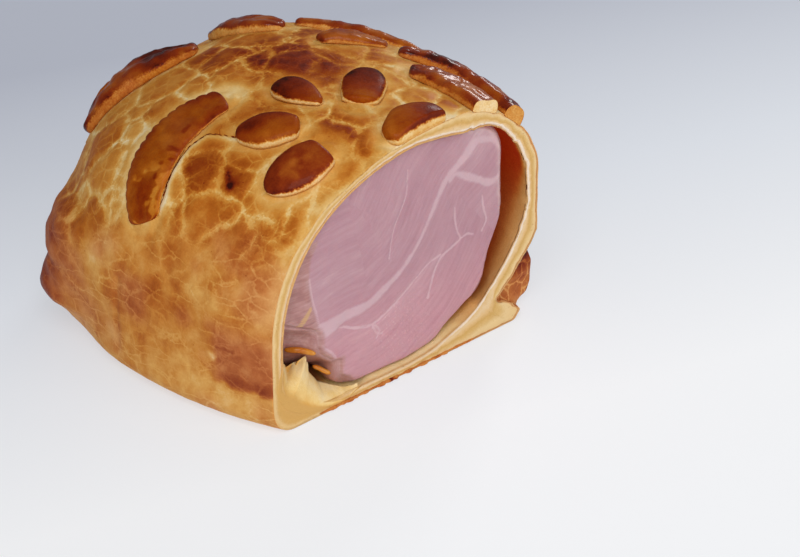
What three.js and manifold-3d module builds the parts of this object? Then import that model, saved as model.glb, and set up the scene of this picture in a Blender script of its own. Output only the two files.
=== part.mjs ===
// A ham baked in a bread crust, with one end sliced off.
// Millimetres, +Z up. The cut face looks towards -Y, the loaf runs back along +Y and rests on z = 0.

import * as THREE from 'three';
import { mergeVertices } from 'three/addons/utils/BufferGeometryUtils.js';
import Module from 'manifold-3d';

// Loaf: measured from the upright line through its crown.
const CUT_Y = -112.9;
const CROWN = new THREE.Vector2(32.3, -18.9);
const REACH_LEFT = 139.5;
const REACH_RIGHT = 70.5;
const REACH_BACK = 127;
const REACH_FRONT = 179;
const CROWN_HEIGHT = 142;
const PLAN_SQUARENESS = 2.12;
// The near side leans in from low down, the far side stands up to its shoulder.
const SHOULDER_LEFT = 40;
const SHOULDER_RIGHT = 95;
const ROUNDNESS_LEFT = 2.36;
const ROUNDNESS_RIGHT = 1.8;
const FOOT_RADIUS = 12;
const LUMP_HEIGHT = 1.3;

// The heart is the point inside the loaf that every ray of the surfaces starts from.
const HEART = new THREE.Vector3(2.3, -12.5, 62);

// Hollow of the crust at the cut: distance from the heart's line, from the far side
// over the top to the near side and back under the ham, one value every 15 degrees.
const HOLLOW_RADII = [
  82, 85, 84.5, 79.5, 69, 64.2, 62.8, 62.2, 64, 67.8, 73, 78,
  83, 88, 93, 80, 65.5, 59, 57, 57.5, 59, 63.5, 67.5, 74,
];
const BACK_WALL = 0.89;
// Behind the rim the dough rises in a fillet towards the ham at the near foot.
const FILLET = { angle: 219, spread: 20, rise: 21, from: 1, to: 22, ends: 120 };

// Ham: it shrank from the crust along the far side and a little at the near foot.
const HAM_RECESS = 2.5;
const SNUG_GAP = 0.5;
const GAPS = [
  { angle: 4, spread: 28, width: 15.5, depth: 95 },
  { angle: 318, spread: 22, width: 4.5, depth: 50 },
  { angle: 206, spread: 18, width: 28.5, depth: 34 },
  { angle: 227, spread: 8, width: 8, depth: 10 },
];

// Notch in the far side at the cut, where the lid of dough meets the base. From its deepest line
// it fades upwards, and downwards it goes over to the lip of the base, which is set in only a little.
const NOTCH = { height: 18, above: 31, power: 1.3, lip: 4, lipDepth: 9, depth: 29, from: 4, to: 13 };

// Pressed seam round the far side and the back, and the lump of gathered dough it ends in.
const SEAM = { height: 19, spread: 15, bulge: 5.5, from: -62, to: 150, fade: 14 };
const GATHER = { angle: 152, spread: 12, height: 44, tall: 29, bulge: 13.6 };
// Seam and gather grow out of the base over this height.
const GROUND_FADE = 8;

// Rings and columns of the meshes.
const COLUMNS = 68;
const COLUMN_CROWDING = 0.36;
const CROWDED_ANGLE = -28;
const OUTER_RINGS = 22;
const OUTER_CROWDING = 1.5;
const INNER_RINGS = 12;
const INNER_CROWDING = 1.8;

const PALE_CRUMB = 0xe9cf96;
const BROWN_GLAZE = 0x7a3a17;
const COOKED_PINK = 0xd48f93;

const radians = THREE.MathUtils.degToRad;
const lerp = THREE.MathUtils.lerp;
const smooth = THREE.MathUtils.smoothstep;

// Difference of two angles in degrees, wrapped to -180..180.
function turn(a, b) {
  return ((((a - b) % 360) + 540) % 360) - 180;
}

// How far the loaf reaches from its crown line in plan, towards one heading.
function planReach(cosine, sine) {
  const across = Math.abs(cosine) / (cosine > 0 ? REACH_RIGHT : REACH_LEFT);
  const along = Math.abs(sine) / (sine > 0 ? REACH_BACK : REACH_FRONT);
  return (across ** PLAN_SQUARENESS + along ** PLAN_SQUARENESS) ** (-1 / PLAN_SQUARENESS);
}

// Below 1 inside the whole loaf and above 1 outside it, as if nothing had been sliced off.
function loafLevel(p) {
  const dx = p.x - CROWN.x;
  const dy = p.y - CROWN.y;
  const distance = Math.hypot(dx, dy) + 1e-9;
  const cosine = dx / distance;
  const reach = planReach(cosine, dy / distance);
  const side = (1 + cosine) / 2;
  const shoulder = lerp(SHOULDER_LEFT, SHOULDER_RIGHT, side);
  const roundness = lerp(ROUNDNESS_LEFT, ROUNDNESS_RIGHT, side);
  if (p.z < 0) return 2 - p.z;
  if (p.z < shoulder) {
    const low = Math.max(0, 1 - p.z / FOOT_RADIUS);
    return distance / (reach - FOOT_RADIUS * (1 - Math.sqrt(1 - low * low)));
  }
  const rise = (p.z - shoulder) / (CROWN_HEIGHT - shoulder);
  return ((distance / reach) ** roundness + rise ** roundness) ** (1 / roundness);
}

// Length of the ray from the heart to the skin of the whole loaf.
function skinLength(direction) {
  let inside = 0;
  let outside = 320;
  const probe = new THREE.Vector3();
  for (let step = 0; step < 34; step += 1) {
    const middle = (inside + outside) / 2;
    probe.copy(HEART).addScaledVector(direction, middle);
    if (loafLevel(probe) < 1) inside = middle;
    else outside = middle;
  }
  return inside;
}

// Soft unevenness of hand-rolled dough, none on the base.
function lump(p) {
  const waves = Math.sin(p.x / 19 + 0.6) * Math.sin(p.y / 23 + 1.1)
    + 0.6 * Math.sin(p.z / 15 + p.x / 37) * Math.cos(p.y / 14 - 0.4);
  return LUMP_HEIGHT * waves * smooth(p.z, 4, 24);
}

function onRay(direction, length) {
  return HEART.clone().addScaledVector(direction, length);
}

// Point of the plain skin, lumps included, that a ray from the heart meets.
function skinPoint(direction) {
  const length = skinLength(direction);
  return onRay(direction, length + lump(onRay(direction, length)));
}

// Seam, gathered lump and notch move the low skin level, away from the crown line or across it.
function seamRelief(p) {
  const heading = Math.atan2(p.y - CROWN.y, p.x - CROWN.x);
  const degrees = THREE.MathUtils.radToDeg(heading);
  const along = smooth(degrees, SEAM.from - SEAM.fade, SEAM.from)
    * (1 - smooth(degrees, SEAM.to, SEAM.to + SEAM.fade));
  const wrinkle = 1 + 0.2 * Math.sin(heading * 13) * Math.cos(heading * 6 + 0.5);
  const seam = SEAM.bulge * wrinkle * along * Math.exp(-(((p.z - SEAM.height) / SEAM.spread) ** 4));
  const gatherSide = Math.exp(-((turn(degrees, GATHER.angle) / GATHER.spread) ** 2));
  const gatherRise = Math.exp(-(((p.z - GATHER.height) / GATHER.tall) ** 6));
  const notchDepth = p.z > NOTCH.height
    ? NOTCH.depth * Math.max(0, 1 - (p.z - NOTCH.height) / NOTCH.above) ** NOTCH.power
    : lerp(NOTCH.lipDepth, NOTCH.depth, smooth(p.z, NOTCH.lip, NOTCH.height));
  const farSide = smooth(p.x, CROWN.x + 10, CROWN.x + 40);
  const notchReach = 1 - smooth(p.y - CUT_Y, NOTCH.from, NOTCH.to);
  const out = seam * (1 - notchReach) + GATHER.bulge * gatherSide * gatherRise;
  const grounded = smooth(p.z, 0, GROUND_FADE);
  p.x += Math.cos(heading) * out * grounded - notchDepth * farSide * notchReach;
  p.y += Math.sin(heading) * out * grounded;
  return p;
}

// Direction of a ray: round is the angle about the loaf's long axis, 0 towards +X and 90 degrees up,
// and tilt is the angle away from the back end.
function rayDirection(round, tilt) {
  const spread = Math.sin(tilt);
  return new THREE.Vector3(spread * Math.cos(round), Math.cos(tilt), spread * Math.sin(round));
}

// Radius of the loaf's outline in the plane of the cut.
function cutRadius(round) {
  let inside = 0;
  let outside = 220;
  const probe = new THREE.Vector3();
  for (let step = 0; step < 34; step += 1) {
    const middle = (inside + outside) / 2;
    probe.set(HEART.x + middle * Math.cos(round), CUT_Y, HEART.z + middle * Math.sin(round));
    if (loafLevel(probe) < 1) inside = middle;
    else outside = middle;
  }
  return inside;
}

// Smooth closed curve through the radii of the hollow.
function hollowRadius(round) {
  const count = HOLLOW_RADII.length;
  const place = ((round / (2 * Math.PI)) * count + count) % count;
  const first = Math.floor(place);
  const t = place - first;
  const value = (offset) => HOLLOW_RADII[(first + offset + count) % count];
  const [a, b, c, d] = [value(-1), value(0), value(1), value(2)];
  return b + 0.5 * t * (c - a + t * (2 * a - 5 * b + 4 * c - d + t * (3 * (b - c) + d - a)));
}

// Tilt of the ray that meets the plane of the cut at a radius.
function cutTilt(radius) {
  return Math.PI - Math.atan2(radius, HEART.y - CUT_Y);
}

// Columns lie closer together round the notch.
function columnAngle(column) {
  const even = (column / COLUMNS) * 2 * Math.PI;
  return even - COLUMN_CROWDING * Math.sin(even - radians(CROWDED_ANGLE));
}

// Rings lie closer together towards the cut.
function ringShare(ring, rings, crowding) {
  return 1 - (1 - ring / rings) ** crowding;
}

function outerPoint(round, share) {
  const direction = rayDirection(round, cutTilt(cutRadius(round)) * share);
  const p = seamRelief(skinPoint(direction));
  if (share === 1) p.y = CUT_Y;
  return p;
}

function hollowPoint(round, share) {
  const radius = hollowRadius(round);
  const tilt = cutTilt(radius);
  const atCut = Math.hypot(radius, HEART.y - CUT_Y) / skinLength(rayDirection(round, tilt));
  const direction = rayDirection(round, tilt * share);
  const length = skinLength(direction) * lerp(BACK_WALL, atCut, share * share);
  const behind = onRay(direction, length).y - CUT_Y;
  const off = turn(THREE.MathUtils.radToDeg(round), FILLET.angle) / FILLET.spread;
  const rise = FILLET.rise * Math.exp(-(off ** 2)) * smooth(behind, FILLET.from, FILLET.to)
    * (1 - smooth(behind, FILLET.to, FILLET.ends));
  return onRay(direction, length - rise);
}

// Space between crust and ham where the ham has drawn back, fading towards the back of the loaf.
function hamGap(round, p) {
  const degrees = THREE.MathUtils.radToDeg(round);
  const behind = p.y - CUT_Y;
  return GAPS.reduce((sum, gap) => {
    const side = Math.exp(-((turn(degrees, gap.angle) / gap.spread) ** 4));
    return sum + gap.width * side * (1 - smooth(behind, 0.1 * gap.depth, gap.depth));
  }, SNUG_GAP);
}

function towardsHeartLine(p, distance) {
  const inward = HEART.clone().sub(p);
  inward.y *= smooth(p.y - CUT_Y, 20, 140);
  return p.clone().addScaledVector(inward.normalize(), distance);
}

// Mesh through rings of points, from a pole before the first ring to a pole after the last.
function ringMesh(first, rings, last) {
  const columns = rings[0].length;
  const points = [first, ...rings.flat(), last];
  const faces = [];
  const at = (ring, column) => 1 + ring * columns + ((column + columns) % columns);
  for (let column = 0; column < columns; column += 1) {
    faces.push(0, at(0, column), at(0, column + 1));
    for (let ring = 0; ring + 1 < rings.length; ring += 1) {
      faces.push(at(ring, column), at(ring + 1, column), at(ring + 1, column + 1));
      faces.push(at(ring, column), at(ring + 1, column + 1), at(ring, column + 1));
    }
    faces.push(at(rings.length - 1, column), points.length - 1, at(rings.length - 1, column + 1));
  }
  const geometry = new THREE.BufferGeometry().setFromPoints(points);
  geometry.setIndex(faces);
  return geometry;
}

function signedVolume(geometry) {
  const position = geometry.getAttribute('position');
  const index = geometry.getIndex();
  const [a, b, c] = [new THREE.Vector3(), new THREE.Vector3(), new THREE.Vector3()];
  let volume = 0;
  for (let i = 0; i < index.count; i += 3) {
    a.fromBufferAttribute(position, index.getX(i));
    b.fromBufferAttribute(position, index.getX(i + 1));
    c.fromBufferAttribute(position, index.getX(i + 2));
    volume += a.dot(b.cross(c)) / 6;
  }
  return volume;
}

// Faces outward: a mesh whose volume comes out negative has every triangle turned over.
function facingOut(geometry) {
  if (signedVolume(geometry) > 0) return geometry;
  const index = geometry.getIndex();
  for (let i = 0; i < index.count; i += 3) {
    const second = index.getX(i + 1);
    index.setX(i + 1, index.getX(i + 2));
    index.setX(i + 2, second);
  }
  return geometry;
}

const wasm = await Module();
wasm.setup();

function toSolid(geometry) {
  const plain = geometry.clone();
  plain.deleteAttribute('normal');
  plain.deleteAttribute('uv');
  const merged = mergeVertices(plain, 1e-4);
  return new wasm.Manifold(new wasm.Mesh({
    numProp: 3,
    vertProperties: new Float32Array(merged.getAttribute('position').array),
    triVerts: new Uint32Array(merged.getIndex().array),
  }));
}

function fromSolid(solid) {
  const mesh = solid.getMesh();
  const geometry = new THREE.BufferGeometry();
  geometry.setAttribute('position', new THREE.BufferAttribute(new Float32Array(mesh.vertProperties), 3));
  geometry.setIndex(new THREE.BufferAttribute(new Uint32Array(mesh.triVerts), 1));
  return geometry;
}

// The slicing knife takes everything in front of the plane of the cut.
function sliced(geometry) {
  const knife = new THREE.BoxGeometry(400, 200, 400);
  knife.translate(0, CUT_Y - 100, 0);
  return fromSolid(toSolid(geometry).subtract(toSolid(knife)));
}

const loaf = new THREE.Group();

function addPiece(name, geometry, color, roughness) {
  const outward = facingOut(geometry);
  outward.computeVertexNormals();
  const mesh = new THREE.Mesh(outward, new THREE.MeshStandardMaterial({ color, roughness, metalness: 0 }));
  mesh.name = name;
  loaf.add(mesh);
}

const columnAngles = Array.from({ length: COLUMNS }, (_, column) => columnAngle(column));
const ringOf = (pointAt, share) => columnAngles.map((round) => pointAt(round, share));
const ringsOf = (pointAt, rings, crowding) => Array.from(
  { length: rings },
  (_, ring) => ringOf(pointAt, ringShare(ring + 1, rings, crowding)),
);

// Crust: out from the back end to the cut, across the cut, and back inside the hollow.
function crustGeometry() {
  const outside = ringsOf(outerPoint, OUTER_RINGS, OUTER_CROWDING);
  const inside = ringsOf(hollowPoint, INNER_RINGS, INNER_CROWDING);
  const edge = outside[OUTER_RINGS - 1];
  const lip = inside[INNER_RINGS - 1];
  const crumb = edge.map((p, column) => p.clone().lerp(lip[column], 0.5));
  return ringMesh(outerPoint(0, 0), [...outside, crumb, ...inside.reverse()], hollowPoint(0, 0));
}

// Ham: it follows the rings of the hollow, so that the gap stays even, and ends in a flat cut face.
function hamGeometry() {
  const hollow = ringsOf(hollowPoint, INNER_RINGS, INNER_CROWDING);
  const shrunk = (p, column) => towardsHeartLine(p, hamGap(columnAngles[column], p));
  const body = hollow.slice(0, -1).map((ring) => ring.map(shrunk));
  const lip = hollow[INNER_RINGS - 1];
  const edge = hollow[INNER_RINGS - 2].map((behind, column) => {
    const share = (behind.y - CUT_Y - HAM_RECESS) / (behind.y - CUT_Y);
    const p = shrunk(behind.clone().lerp(lip[column], share), column);
    p.y = CUT_Y + HAM_RECESS;
    return p;
  });
  const middle = new THREE.Vector3(HEART.x - 8, CUT_Y + HAM_RECESS, HEART.z);
  const face = [0.25, 0.6].map((share) => edge.map((p) => middle.clone().lerp(p, share)));
  const back = hollowPoint(0, 0);
  back.y -= SNUG_GAP;
  return ringMesh(middle, [...face, edge, ...body.reverse()], back);
}

// Nearest point of the skin to p along the ray from the heart.
function dropToSkin(p) {
  return skinPoint(p.clone().sub(HEART).normalize());
}

function skinNormal(p) {
  const step = 1.5;
  const away = p.clone().sub(HEART).normalize();
  const across = new THREE.Vector3().crossVectors(away, new THREE.Vector3(0, 1, 0.3)).normalize();
  const along = new THREE.Vector3().crossVectors(away, across);
  const u = dropToSkin(p.clone().addScaledVector(across, step)).sub(p);
  const v = dropToSkin(p.clone().addScaledVector(along, step)).sub(p);
  const normal = u.cross(v).normalize();
  return normal.dot(away) < 0 ? normal.negate() : normal;
}

// A piece of dough laid on the skin: it follows a curve in plan from one end to the other.
// The width gives half its breadth at a place along it, and the lift its thickness there.
// With trimmed set, a side that would pass the plane of the cut ends on it.
function laidPiece({ path, width, lift, sections, across, trimmed = false }) {
  const centre = (s) => {
    const q = path.getPoint(s);
    return dropToSkin(new THREE.Vector3(CROWN.x + q.x, CUT_Y + q.y, q.z));
  };
  const section = (s) => {
    const middle = centre(s);
    const tangent = centre(Math.min(1, s + 0.02)).sub(centre(Math.max(0, s - 0.02))).normalize();
    const normal = skinNormal(middle);
    const sideways = new THREE.Vector3().crossVectors(normal, tangent).normalize();
    const room = trimmed && sideways.y > 0 ? (middle.y - CUT_Y) / sideways.y : Infinity;
    const spot = (v, height) => {
      const reach = v < 0 ? Math.min(width(s, v), room) : width(s, v);
      const foot = dropToSkin(middle.clone().addScaledVector(sideways, v * reach));
      foot.addScaledVector(normal, height);
      if (trimmed) foot.y = Math.max(foot.y, CUT_Y);
      return foot;
    };
    const under = Array.from({ length: across + 1 }, (_, i) => spot((2 * i) / across - 1, SNUG_GAP));
    const over = Array.from({ length: across + 1 }, (_, i) => {
      const v = 0.96 * (1 - (2 * i) / across);
      return spot(v, SNUG_GAP + lift(s) * (1 - 0.85 * Math.abs(v) ** 3));
    });
    return [...under, ...over];
  };
  const shares = Array.from({ length: sections }, (_, i) => (i + 0.5) / sections);
  const end = (s) => centre(s).addScaledVector(skinNormal(centre(s)), SNUG_GAP + 0.4 * lift(s));
  return ringMesh(end(0), shares.map(section), end(1));
}

// Curve seen from above, x from the crown line and y from the cut, bent by its middle point.
// The height only aims the rays that drop it onto the skin.
function planCurve([fromX, fromY, fromZ], [midX, midY, midZ], [toX, toY, toZ]) {
  return new THREE.QuadraticBezierCurve3(
    new THREE.Vector3(fromX, fromY, fromZ),
    new THREE.Vector3(midX, midY, midZ),
    new THREE.Vector3(toX, toY, toZ),
  );
}

// Strips of dough with a scalloped outer edge, laid in a wreath over the crown.
const STRIPS = [
  { from: [-70, 93, 134], by: [-121, 111, 128], to: [-122, 86, 86], breadth: 29, lift: 3.5, scallops: 16 },
  { from: [-93, 192, 92], by: [-68, 189, 120], to: [-34, 158, 130], breadth: 33, lift: 9, scallops: 10 },
  { from: [-8, 173, 121], by: [-12, 150, 127], to: [1, 130, 134], breadth: 20, lift: 7, scallops: 7 },
  { from: [18, 140, 136], by: [43, 116, 132], to: [51, 73, 122], breadth: 17, lift: 6, scallops: 9 },
  { from: [0, 101, 142], by: [13, 98, 140], to: [24, 79, 134], breadth: 15, lift: 5, scallops: 6 },
  { from: [23, 68, 136], by: [60, 39, 126], to: [34, -34, 115], breadth: 18, lift: 7.5, scallops: 14 },
  { from: [12, 45, 139], by: [28, 28, 134], to: [18, -34, 127], breadth: 20, lift: 6, scallops: 10 },
];

function addStrip(strip, number) {
  const scallop = (s, v) => (v > 0 ? 0.07 * Math.sin(s * strip.scallops * 2 * Math.PI) : 0);
  const taper = (s) => Math.sin(Math.PI * (0.08 + 0.84 * s)) ** 0.55;
  const geometry = laidPiece({
    path: planCurve(strip.from, strip.by, strip.to),
    width: (s, v) => (strip.breadth / 2) * taper(s) * (1 + scallop(s, v)),
    lift: (s) => strip.lift * taper(s),
    sections: 2 * strip.scallops + 2,
    across: 4,
  });
  const reachesCut = strip.to[1] < 0;
  addPiece(`strip_${number}`, reachesCut ? sliced(geometry) : geometry, BROWN_GLAZE, 0.35);
}

// Petals of a flower round a bare middle, each pointed at its outer end.
const PETALS = [
  { from: [-66, 40, 134], to: [-86, 65, 128], breadth: 22, lift: 5.5 },
  { from: [-45, 48, 138], to: [-47, 79, 139], breadth: 18, lift: 4 },
  { from: [-31, 35, 138], to: [-5, 57, 141], breadth: 22, lift: 4 },
  { from: [-41, 6, 131], to: [-6, 3, 135], breadth: 27, lift: 7 },
  { from: [-67, 21, 128], to: [-102, 25, 117], breadth: 24, lift: 4.5 },
];

function addPetal(petal, number) {
  const middle = petal.from.map((value, axis) => (value + petal.to[axis]) / 2);
  const shape = (s) => Math.sin(Math.PI * (0.06 + 0.9 * s)) ** 0.8 * (1.12 - 0.3 * s);
  const geometry = laidPiece({
    path: planCurve(petal.from, middle, petal.to),
    width: (s) => (petal.breadth / 2) * shape(s),
    lift: (s) => petal.lift * (0.5 + 0.5 * shape(s)),
    sections: 9,
    across: 4,
    trimmed: true,
  });
  addPiece(`petal_${number}`, geometry, BROWN_GLAZE, 0.4);
}

addPiece('crust', crustGeometry(), PALE_CRUMB, 0.7);
addPiece('ham', hamGeometry(), COOKED_PINK, 0.45);
STRIPS.forEach((strip, i) => addStrip(strip, i + 1));
PETALS.forEach((petal, i) => addPetal(petal, i + 1));

export default loaf;
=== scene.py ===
# %% [markdown]
# # A ham baked in a bread crust
# A boneless ham was wrapped in bread dough, trimmed with strips and a dough flower, glazed with
# egg and baked. One end is sliced off, so the pink meat shows inside its crust.
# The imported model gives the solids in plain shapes. This lesson dresses them: every solid is
# replaced by a finer numpy surface of the same form, with the relief and the colours of baking.

import bpy
import numpy as np
from mathutils import Matrix


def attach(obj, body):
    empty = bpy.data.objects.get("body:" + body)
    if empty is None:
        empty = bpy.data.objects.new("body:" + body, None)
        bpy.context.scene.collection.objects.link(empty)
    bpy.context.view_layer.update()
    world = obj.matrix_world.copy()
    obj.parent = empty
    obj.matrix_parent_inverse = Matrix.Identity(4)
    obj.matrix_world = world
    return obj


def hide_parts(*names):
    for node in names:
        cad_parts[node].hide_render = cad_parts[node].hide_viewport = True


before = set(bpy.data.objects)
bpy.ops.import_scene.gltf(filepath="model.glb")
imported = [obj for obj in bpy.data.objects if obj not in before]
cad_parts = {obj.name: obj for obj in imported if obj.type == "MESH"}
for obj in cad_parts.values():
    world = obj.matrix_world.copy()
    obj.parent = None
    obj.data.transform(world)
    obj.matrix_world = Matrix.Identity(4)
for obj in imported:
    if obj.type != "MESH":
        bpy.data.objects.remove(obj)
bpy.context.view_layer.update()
print("packed nodes:", ", ".join(sorted(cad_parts)))

# %% [markdown]
# ## Where the picture is taken from
# The camera stands in front of the cut and to its left, a good metre away, and looks down on the
# loaf. Its three axes are written out, because they were worked out from straight lines of the
# photograph: the foot of the loaf, the foot of the cut and the upright edges of the cut.

# %% Camera
IMAGE_WIDTH = 800
FOCAL_PIXELS = 2115.38
SENSOR_WIDTH = 36
CAMERA_PLACE = (-0.64101, -0.77721, 0.55537)
CAMERA_RIGHT = (0.72281, -0.69105, 0.0)
CAMERA_UP = (0.32974, 0.34489, 0.87882)
CAMERA_BACK = (-0.60731, -0.63521, 0.47716)


def standing(right, up, back, place_at):
    """Matrix of an object from its three axes and its place, each of which is a column."""
    return Matrix([*zip(right, up, back, place_at), (0, 0, 0, 1)])


lens = bpy.data.cameras.new("viewpoint")
lens.sensor_width = SENSOR_WIDTH
lens.lens = FOCAL_PIXELS * SENSOR_WIDTH / IMAGE_WIDTH
viewpoint = bpy.data.objects.new("viewpoint", lens)
bpy.context.scene.collection.objects.link(viewpoint)
viewpoint.matrix_world = standing(CAMERA_RIGHT, CAMERA_UP, CAMERA_BACK, CAMERA_PLACE)
bpy.context.scene.camera = viewpoint
print("lens in mm:", round(lens.lens, 2))

# %% [markdown]
# ## Helpers for shapes
# Everything is worked out in millimetres and turned into metres when the mesh is made. A random
# pattern is a function of the place in space, so it gives the same result each run.

# %% Smooth steps, unit vectors and soft random fields
MM = 0.001


def smooth(x, low, high):
    """0 below low and 1 above high; between them 3t² - 2t³, where t is the share of the way."""
    t = np.clip((x - low) / (high - low), 0, 1)
    return t * t * (3 - 2 * t)


def lerp(a, b, t):
    """a where t is 0, b where it is 1, and on the straight line between them."""
    return a + (b - a) * t


def unit(v):
    """The vector divided by its length."""
    return v / (np.linalg.norm(v, axis=-1, keepdims=True) + 1e-12)


def dot(a, b):
    """Sum of the products of the three parts."""
    return (a * b).sum(-1)


def chance(cell, seed):
    """A random number from -1 to 1 for a cell of whole numbers, by mixing their bits."""
    mixed = cell[..., 0] * 374761393 + cell[..., 1] * 668265263 + cell[..., 2] * 1274126177
    mixed = mixed + seed * 974634777
    mixed = (mixed ^ (mixed >> 13)) * 1103515245
    mixed = mixed ^ (mixed >> 16)
    return (mixed & 0xFFFF) / 32767.5 - 1


def soft_noise(p, size, seed):
    """Random numbers at the corners of cells, blended by smooth steps inside each cell."""
    q = p / size
    cell = np.floor(q).astype(np.int64)
    t = q - cell
    t = t * t * (3 - 2 * t)
    total = np.zeros(p.shape[:-1])
    for corner in np.ndindex(2, 2, 2):
        weight = np.where(np.array(corner, bool), t, 1 - t).prod(-1)
        total += weight * chance(cell + corner, seed)
    return total


def clouds(p, size, seed, octaves=3):
    """Soft noise plus finer noise of half the size and half the height, and so on."""
    return sum(soft_noise(p, size / 2 ** k, seed + k) / 2 ** k for k in range(octaves))


print("a quarter of the way, a smooth step has reached", smooth(0.25, 0, 1).round(3))

# %% [markdown]
# ## Plates
# As the loaf rises in the oven, its glazed skin splits into plates. They could be outlined by hand,
# one by one. Random cells give the same look from two numbers, their size and a seed, and their
# borders are straight, as those of a skin that splits are.

# %% Plates: cells with straight borders
JITTER = 0.43


def jittered(cell, seed):
    """A point inside each cell: its middle, moved at random along each axis."""
    moved = np.stack([chance(cell, seed + axis) for axis in range(3)], -1)
    return cell + 0.5 + JITTER * moved


def plates(p, size, seed):
    """Distance to the border of the cell of points nearest to one seed point, and its number.

    The border with a neighbour is halfway between the two seed points, so the distance is the
    length along the line that joins them. The smallest over all neighbours counts.
    """
    q = p / size
    cell = np.floor(q).astype(np.int64)
    neighbours = [cell + np.array(move) - 1 for move in np.ndindex(3, 3, 3)]
    best = np.full(q.shape[:-1], np.inf)
    nearest = np.zeros_like(q)
    number = np.zeros(q.shape[:-1])
    for other in neighbours:
        away = jittered(other, seed) - q
        distance = dot(away, away)
        closer = distance < best
        best = np.where(closer, distance, best)
        nearest = np.where(closer[..., None], away, nearest)
        number = np.where(closer, chance(other, seed + 7), number)
    border = np.full(q.shape[:-1], 2.0)
    for other in neighbours:
        away = jittered(other, seed) - q
        between = away - nearest
        length = np.linalg.norm(between, axis=-1)
        halfway = dot(away + nearest, between) / 2 / (length + 1e-9)
        border = np.where(length > 1e-6, np.minimum(border, halfway), border)
    return border * size, number


print("nearest plate border, mm from the origin:", plates(np.zeros((1, 3)), 23, 21)[0].round(1))


# %% [markdown]
# ## The plain form of the loaf
# The dough was rolled round the ham and set down, so it is a dome with a flat foot: upright at the
# far side, leaning in at the near side. A point belongs to the inside where its level is below 1.
# The level is a superellipse in plan, joined to a superellipse over the shoulder. These are the
# same formulas and values as those of the solids, so the finer surface lies where the solid does.

# %% Values of the loaf
CUT_Y = -112.9
CROWN = (32.3, -18.9)
REACH_LEFT, REACH_RIGHT, REACH_BACK, REACH_FRONT = 139.5, 70.5, 127, 179
CROWN_HEIGHT = 142
PLAN_SQUARENESS = 2.12
SHOULDER_LEFT, SHOULDER_RIGHT = 40, 95
ROUNDNESS_LEFT, ROUNDNESS_RIGHT = 2.36, 1.8
FOOT_RADIUS = 12
LUMP_HEIGHT = 1.3
HEART = np.array([2.3, -12.5, 62])
HOLLOW_RADII = np.array([
    82, 85, 84.5, 79.5, 69, 64.2, 62.8, 62.2, 64, 67.8, 73, 78,
    83, 88, 93, 80, 65.5, 59, 57, 57.5, 59, 63.5, 67.5, 74,
])
BACK_WALL = 0.89
HAM_RECESS = 2.5
SNUG_GAP = 0.5

# %% [markdown]
# ## The skin
# No formula gives the skin's place at once, so it is searched for. A ray leaves the heart, a point
# well inside the ham, and the stretch in which it leaves the loaf is halved again and again. All
# rays are searched together, as one array.

# %% Skin of the loaf
HALVINGS = 26
LONGEST_RAY, LONGEST_IN_CUT = 320, 220


def loaf_level(p):
    """Below 1 inside: plan distance over plan reach, and above the shoulder the superellipse
    (distance^r + rise^r)^(1/r). The foot is drawn in by a quarter circle."""
    dx, dy, z = p[..., 0] - CROWN[0], p[..., 1] - CROWN[1], p[..., 2]
    distance = np.hypot(dx, dy) + 1e-9
    cosine, sine = dx / distance, dy / distance
    across = np.abs(cosine) / np.where(cosine > 0, REACH_RIGHT, REACH_LEFT)
    along = np.abs(sine) / np.where(sine > 0, REACH_BACK, REACH_FRONT)
    reach = (across ** PLAN_SQUARENESS + along ** PLAN_SQUARENESS) ** (-1 / PLAN_SQUARENESS)
    side = (1 + cosine) / 2
    shoulder = lerp(SHOULDER_LEFT, SHOULDER_RIGHT, side)
    roundness = lerp(ROUNDNESS_LEFT, ROUNDNESS_RIGHT, side)
    low = np.clip(1 - z / FOOT_RADIUS, 0, 1)
    wall = distance / (reach - FOOT_RADIUS * (1 - np.sqrt(1 - low * low)))
    rise = np.clip((z - shoulder) / (CROWN_HEIGHT - shoulder), 0, None)
    dome = ((distance / reach) ** roundness + rise ** roundness) ** (1 / roundness)
    return np.where(z < 0, 2 - z, np.where(z < shoulder, wall, dome))


def halving(inside_at, longest, shape):
    """Length at which a ray leaves the loaf: the interval is halved again and again."""
    inside, outside = np.zeros(shape), np.full(shape, float(longest))
    for _ in range(HALVINGS):
        middle = (inside + outside) / 2
        within = inside_at(middle)
        inside = np.where(within, middle, inside)
        outside = np.where(within, outside, middle)
    return inside


def skin_length(direction):
    """Length of the ray from the heart to the plain skin."""
    return halving(
        lambda length: loaf_level(HEART + direction * length[..., None]) < 1,
        LONGEST_RAY, direction.shape[:-1],
    )


def lump(p):
    """Soft unevenness of hand-rolled dough: products of sine waves, none on the base."""
    x, y, z = p[..., 0], p[..., 1], p[..., 2]
    waves = np.sin(x / 19 + 0.6) * np.sin(y / 23 + 1.1)
    waves = waves + 0.6 * np.sin(z / 15 + x / 37) * np.cos(y / 14 - 0.4)
    return LUMP_HEIGHT * waves * smooth(z, 4, 24)


def skin_point(direction):
    """End of the ray on the plain skin, moved along the ray by the unevenness there."""
    length = skin_length(direction)
    p = HEART + direction * length[..., None]
    return p + direction * lump(p)[..., None]


def ray_direction(around, tilt):
    """Around is the angle about the long axis, 0 to the far side and a quarter turn up.
    Tilt is the angle away from the back end."""
    spread = np.sin(tilt)
    return np.stack([
        spread * np.cos(around), np.cos(tilt) * np.ones_like(around), spread * np.sin(around),
    ], -1)


print("skin straight above the heart, mm:", skin_point(np.array([0.0, 0.0, 1.0]))[2].round(1))

# %% [markdown]
# ## Seam, gathered lump and notch
# Where the sheet of dough was closed, a pressed seam runs low round the far side and the back. Its
# spare dough was gathered into a lump at the near back. At the far end of the cut the foot is
# bitten in above a thin lip. All three move points of the skin sideways, by shares that fade out
# smoothly.

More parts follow.
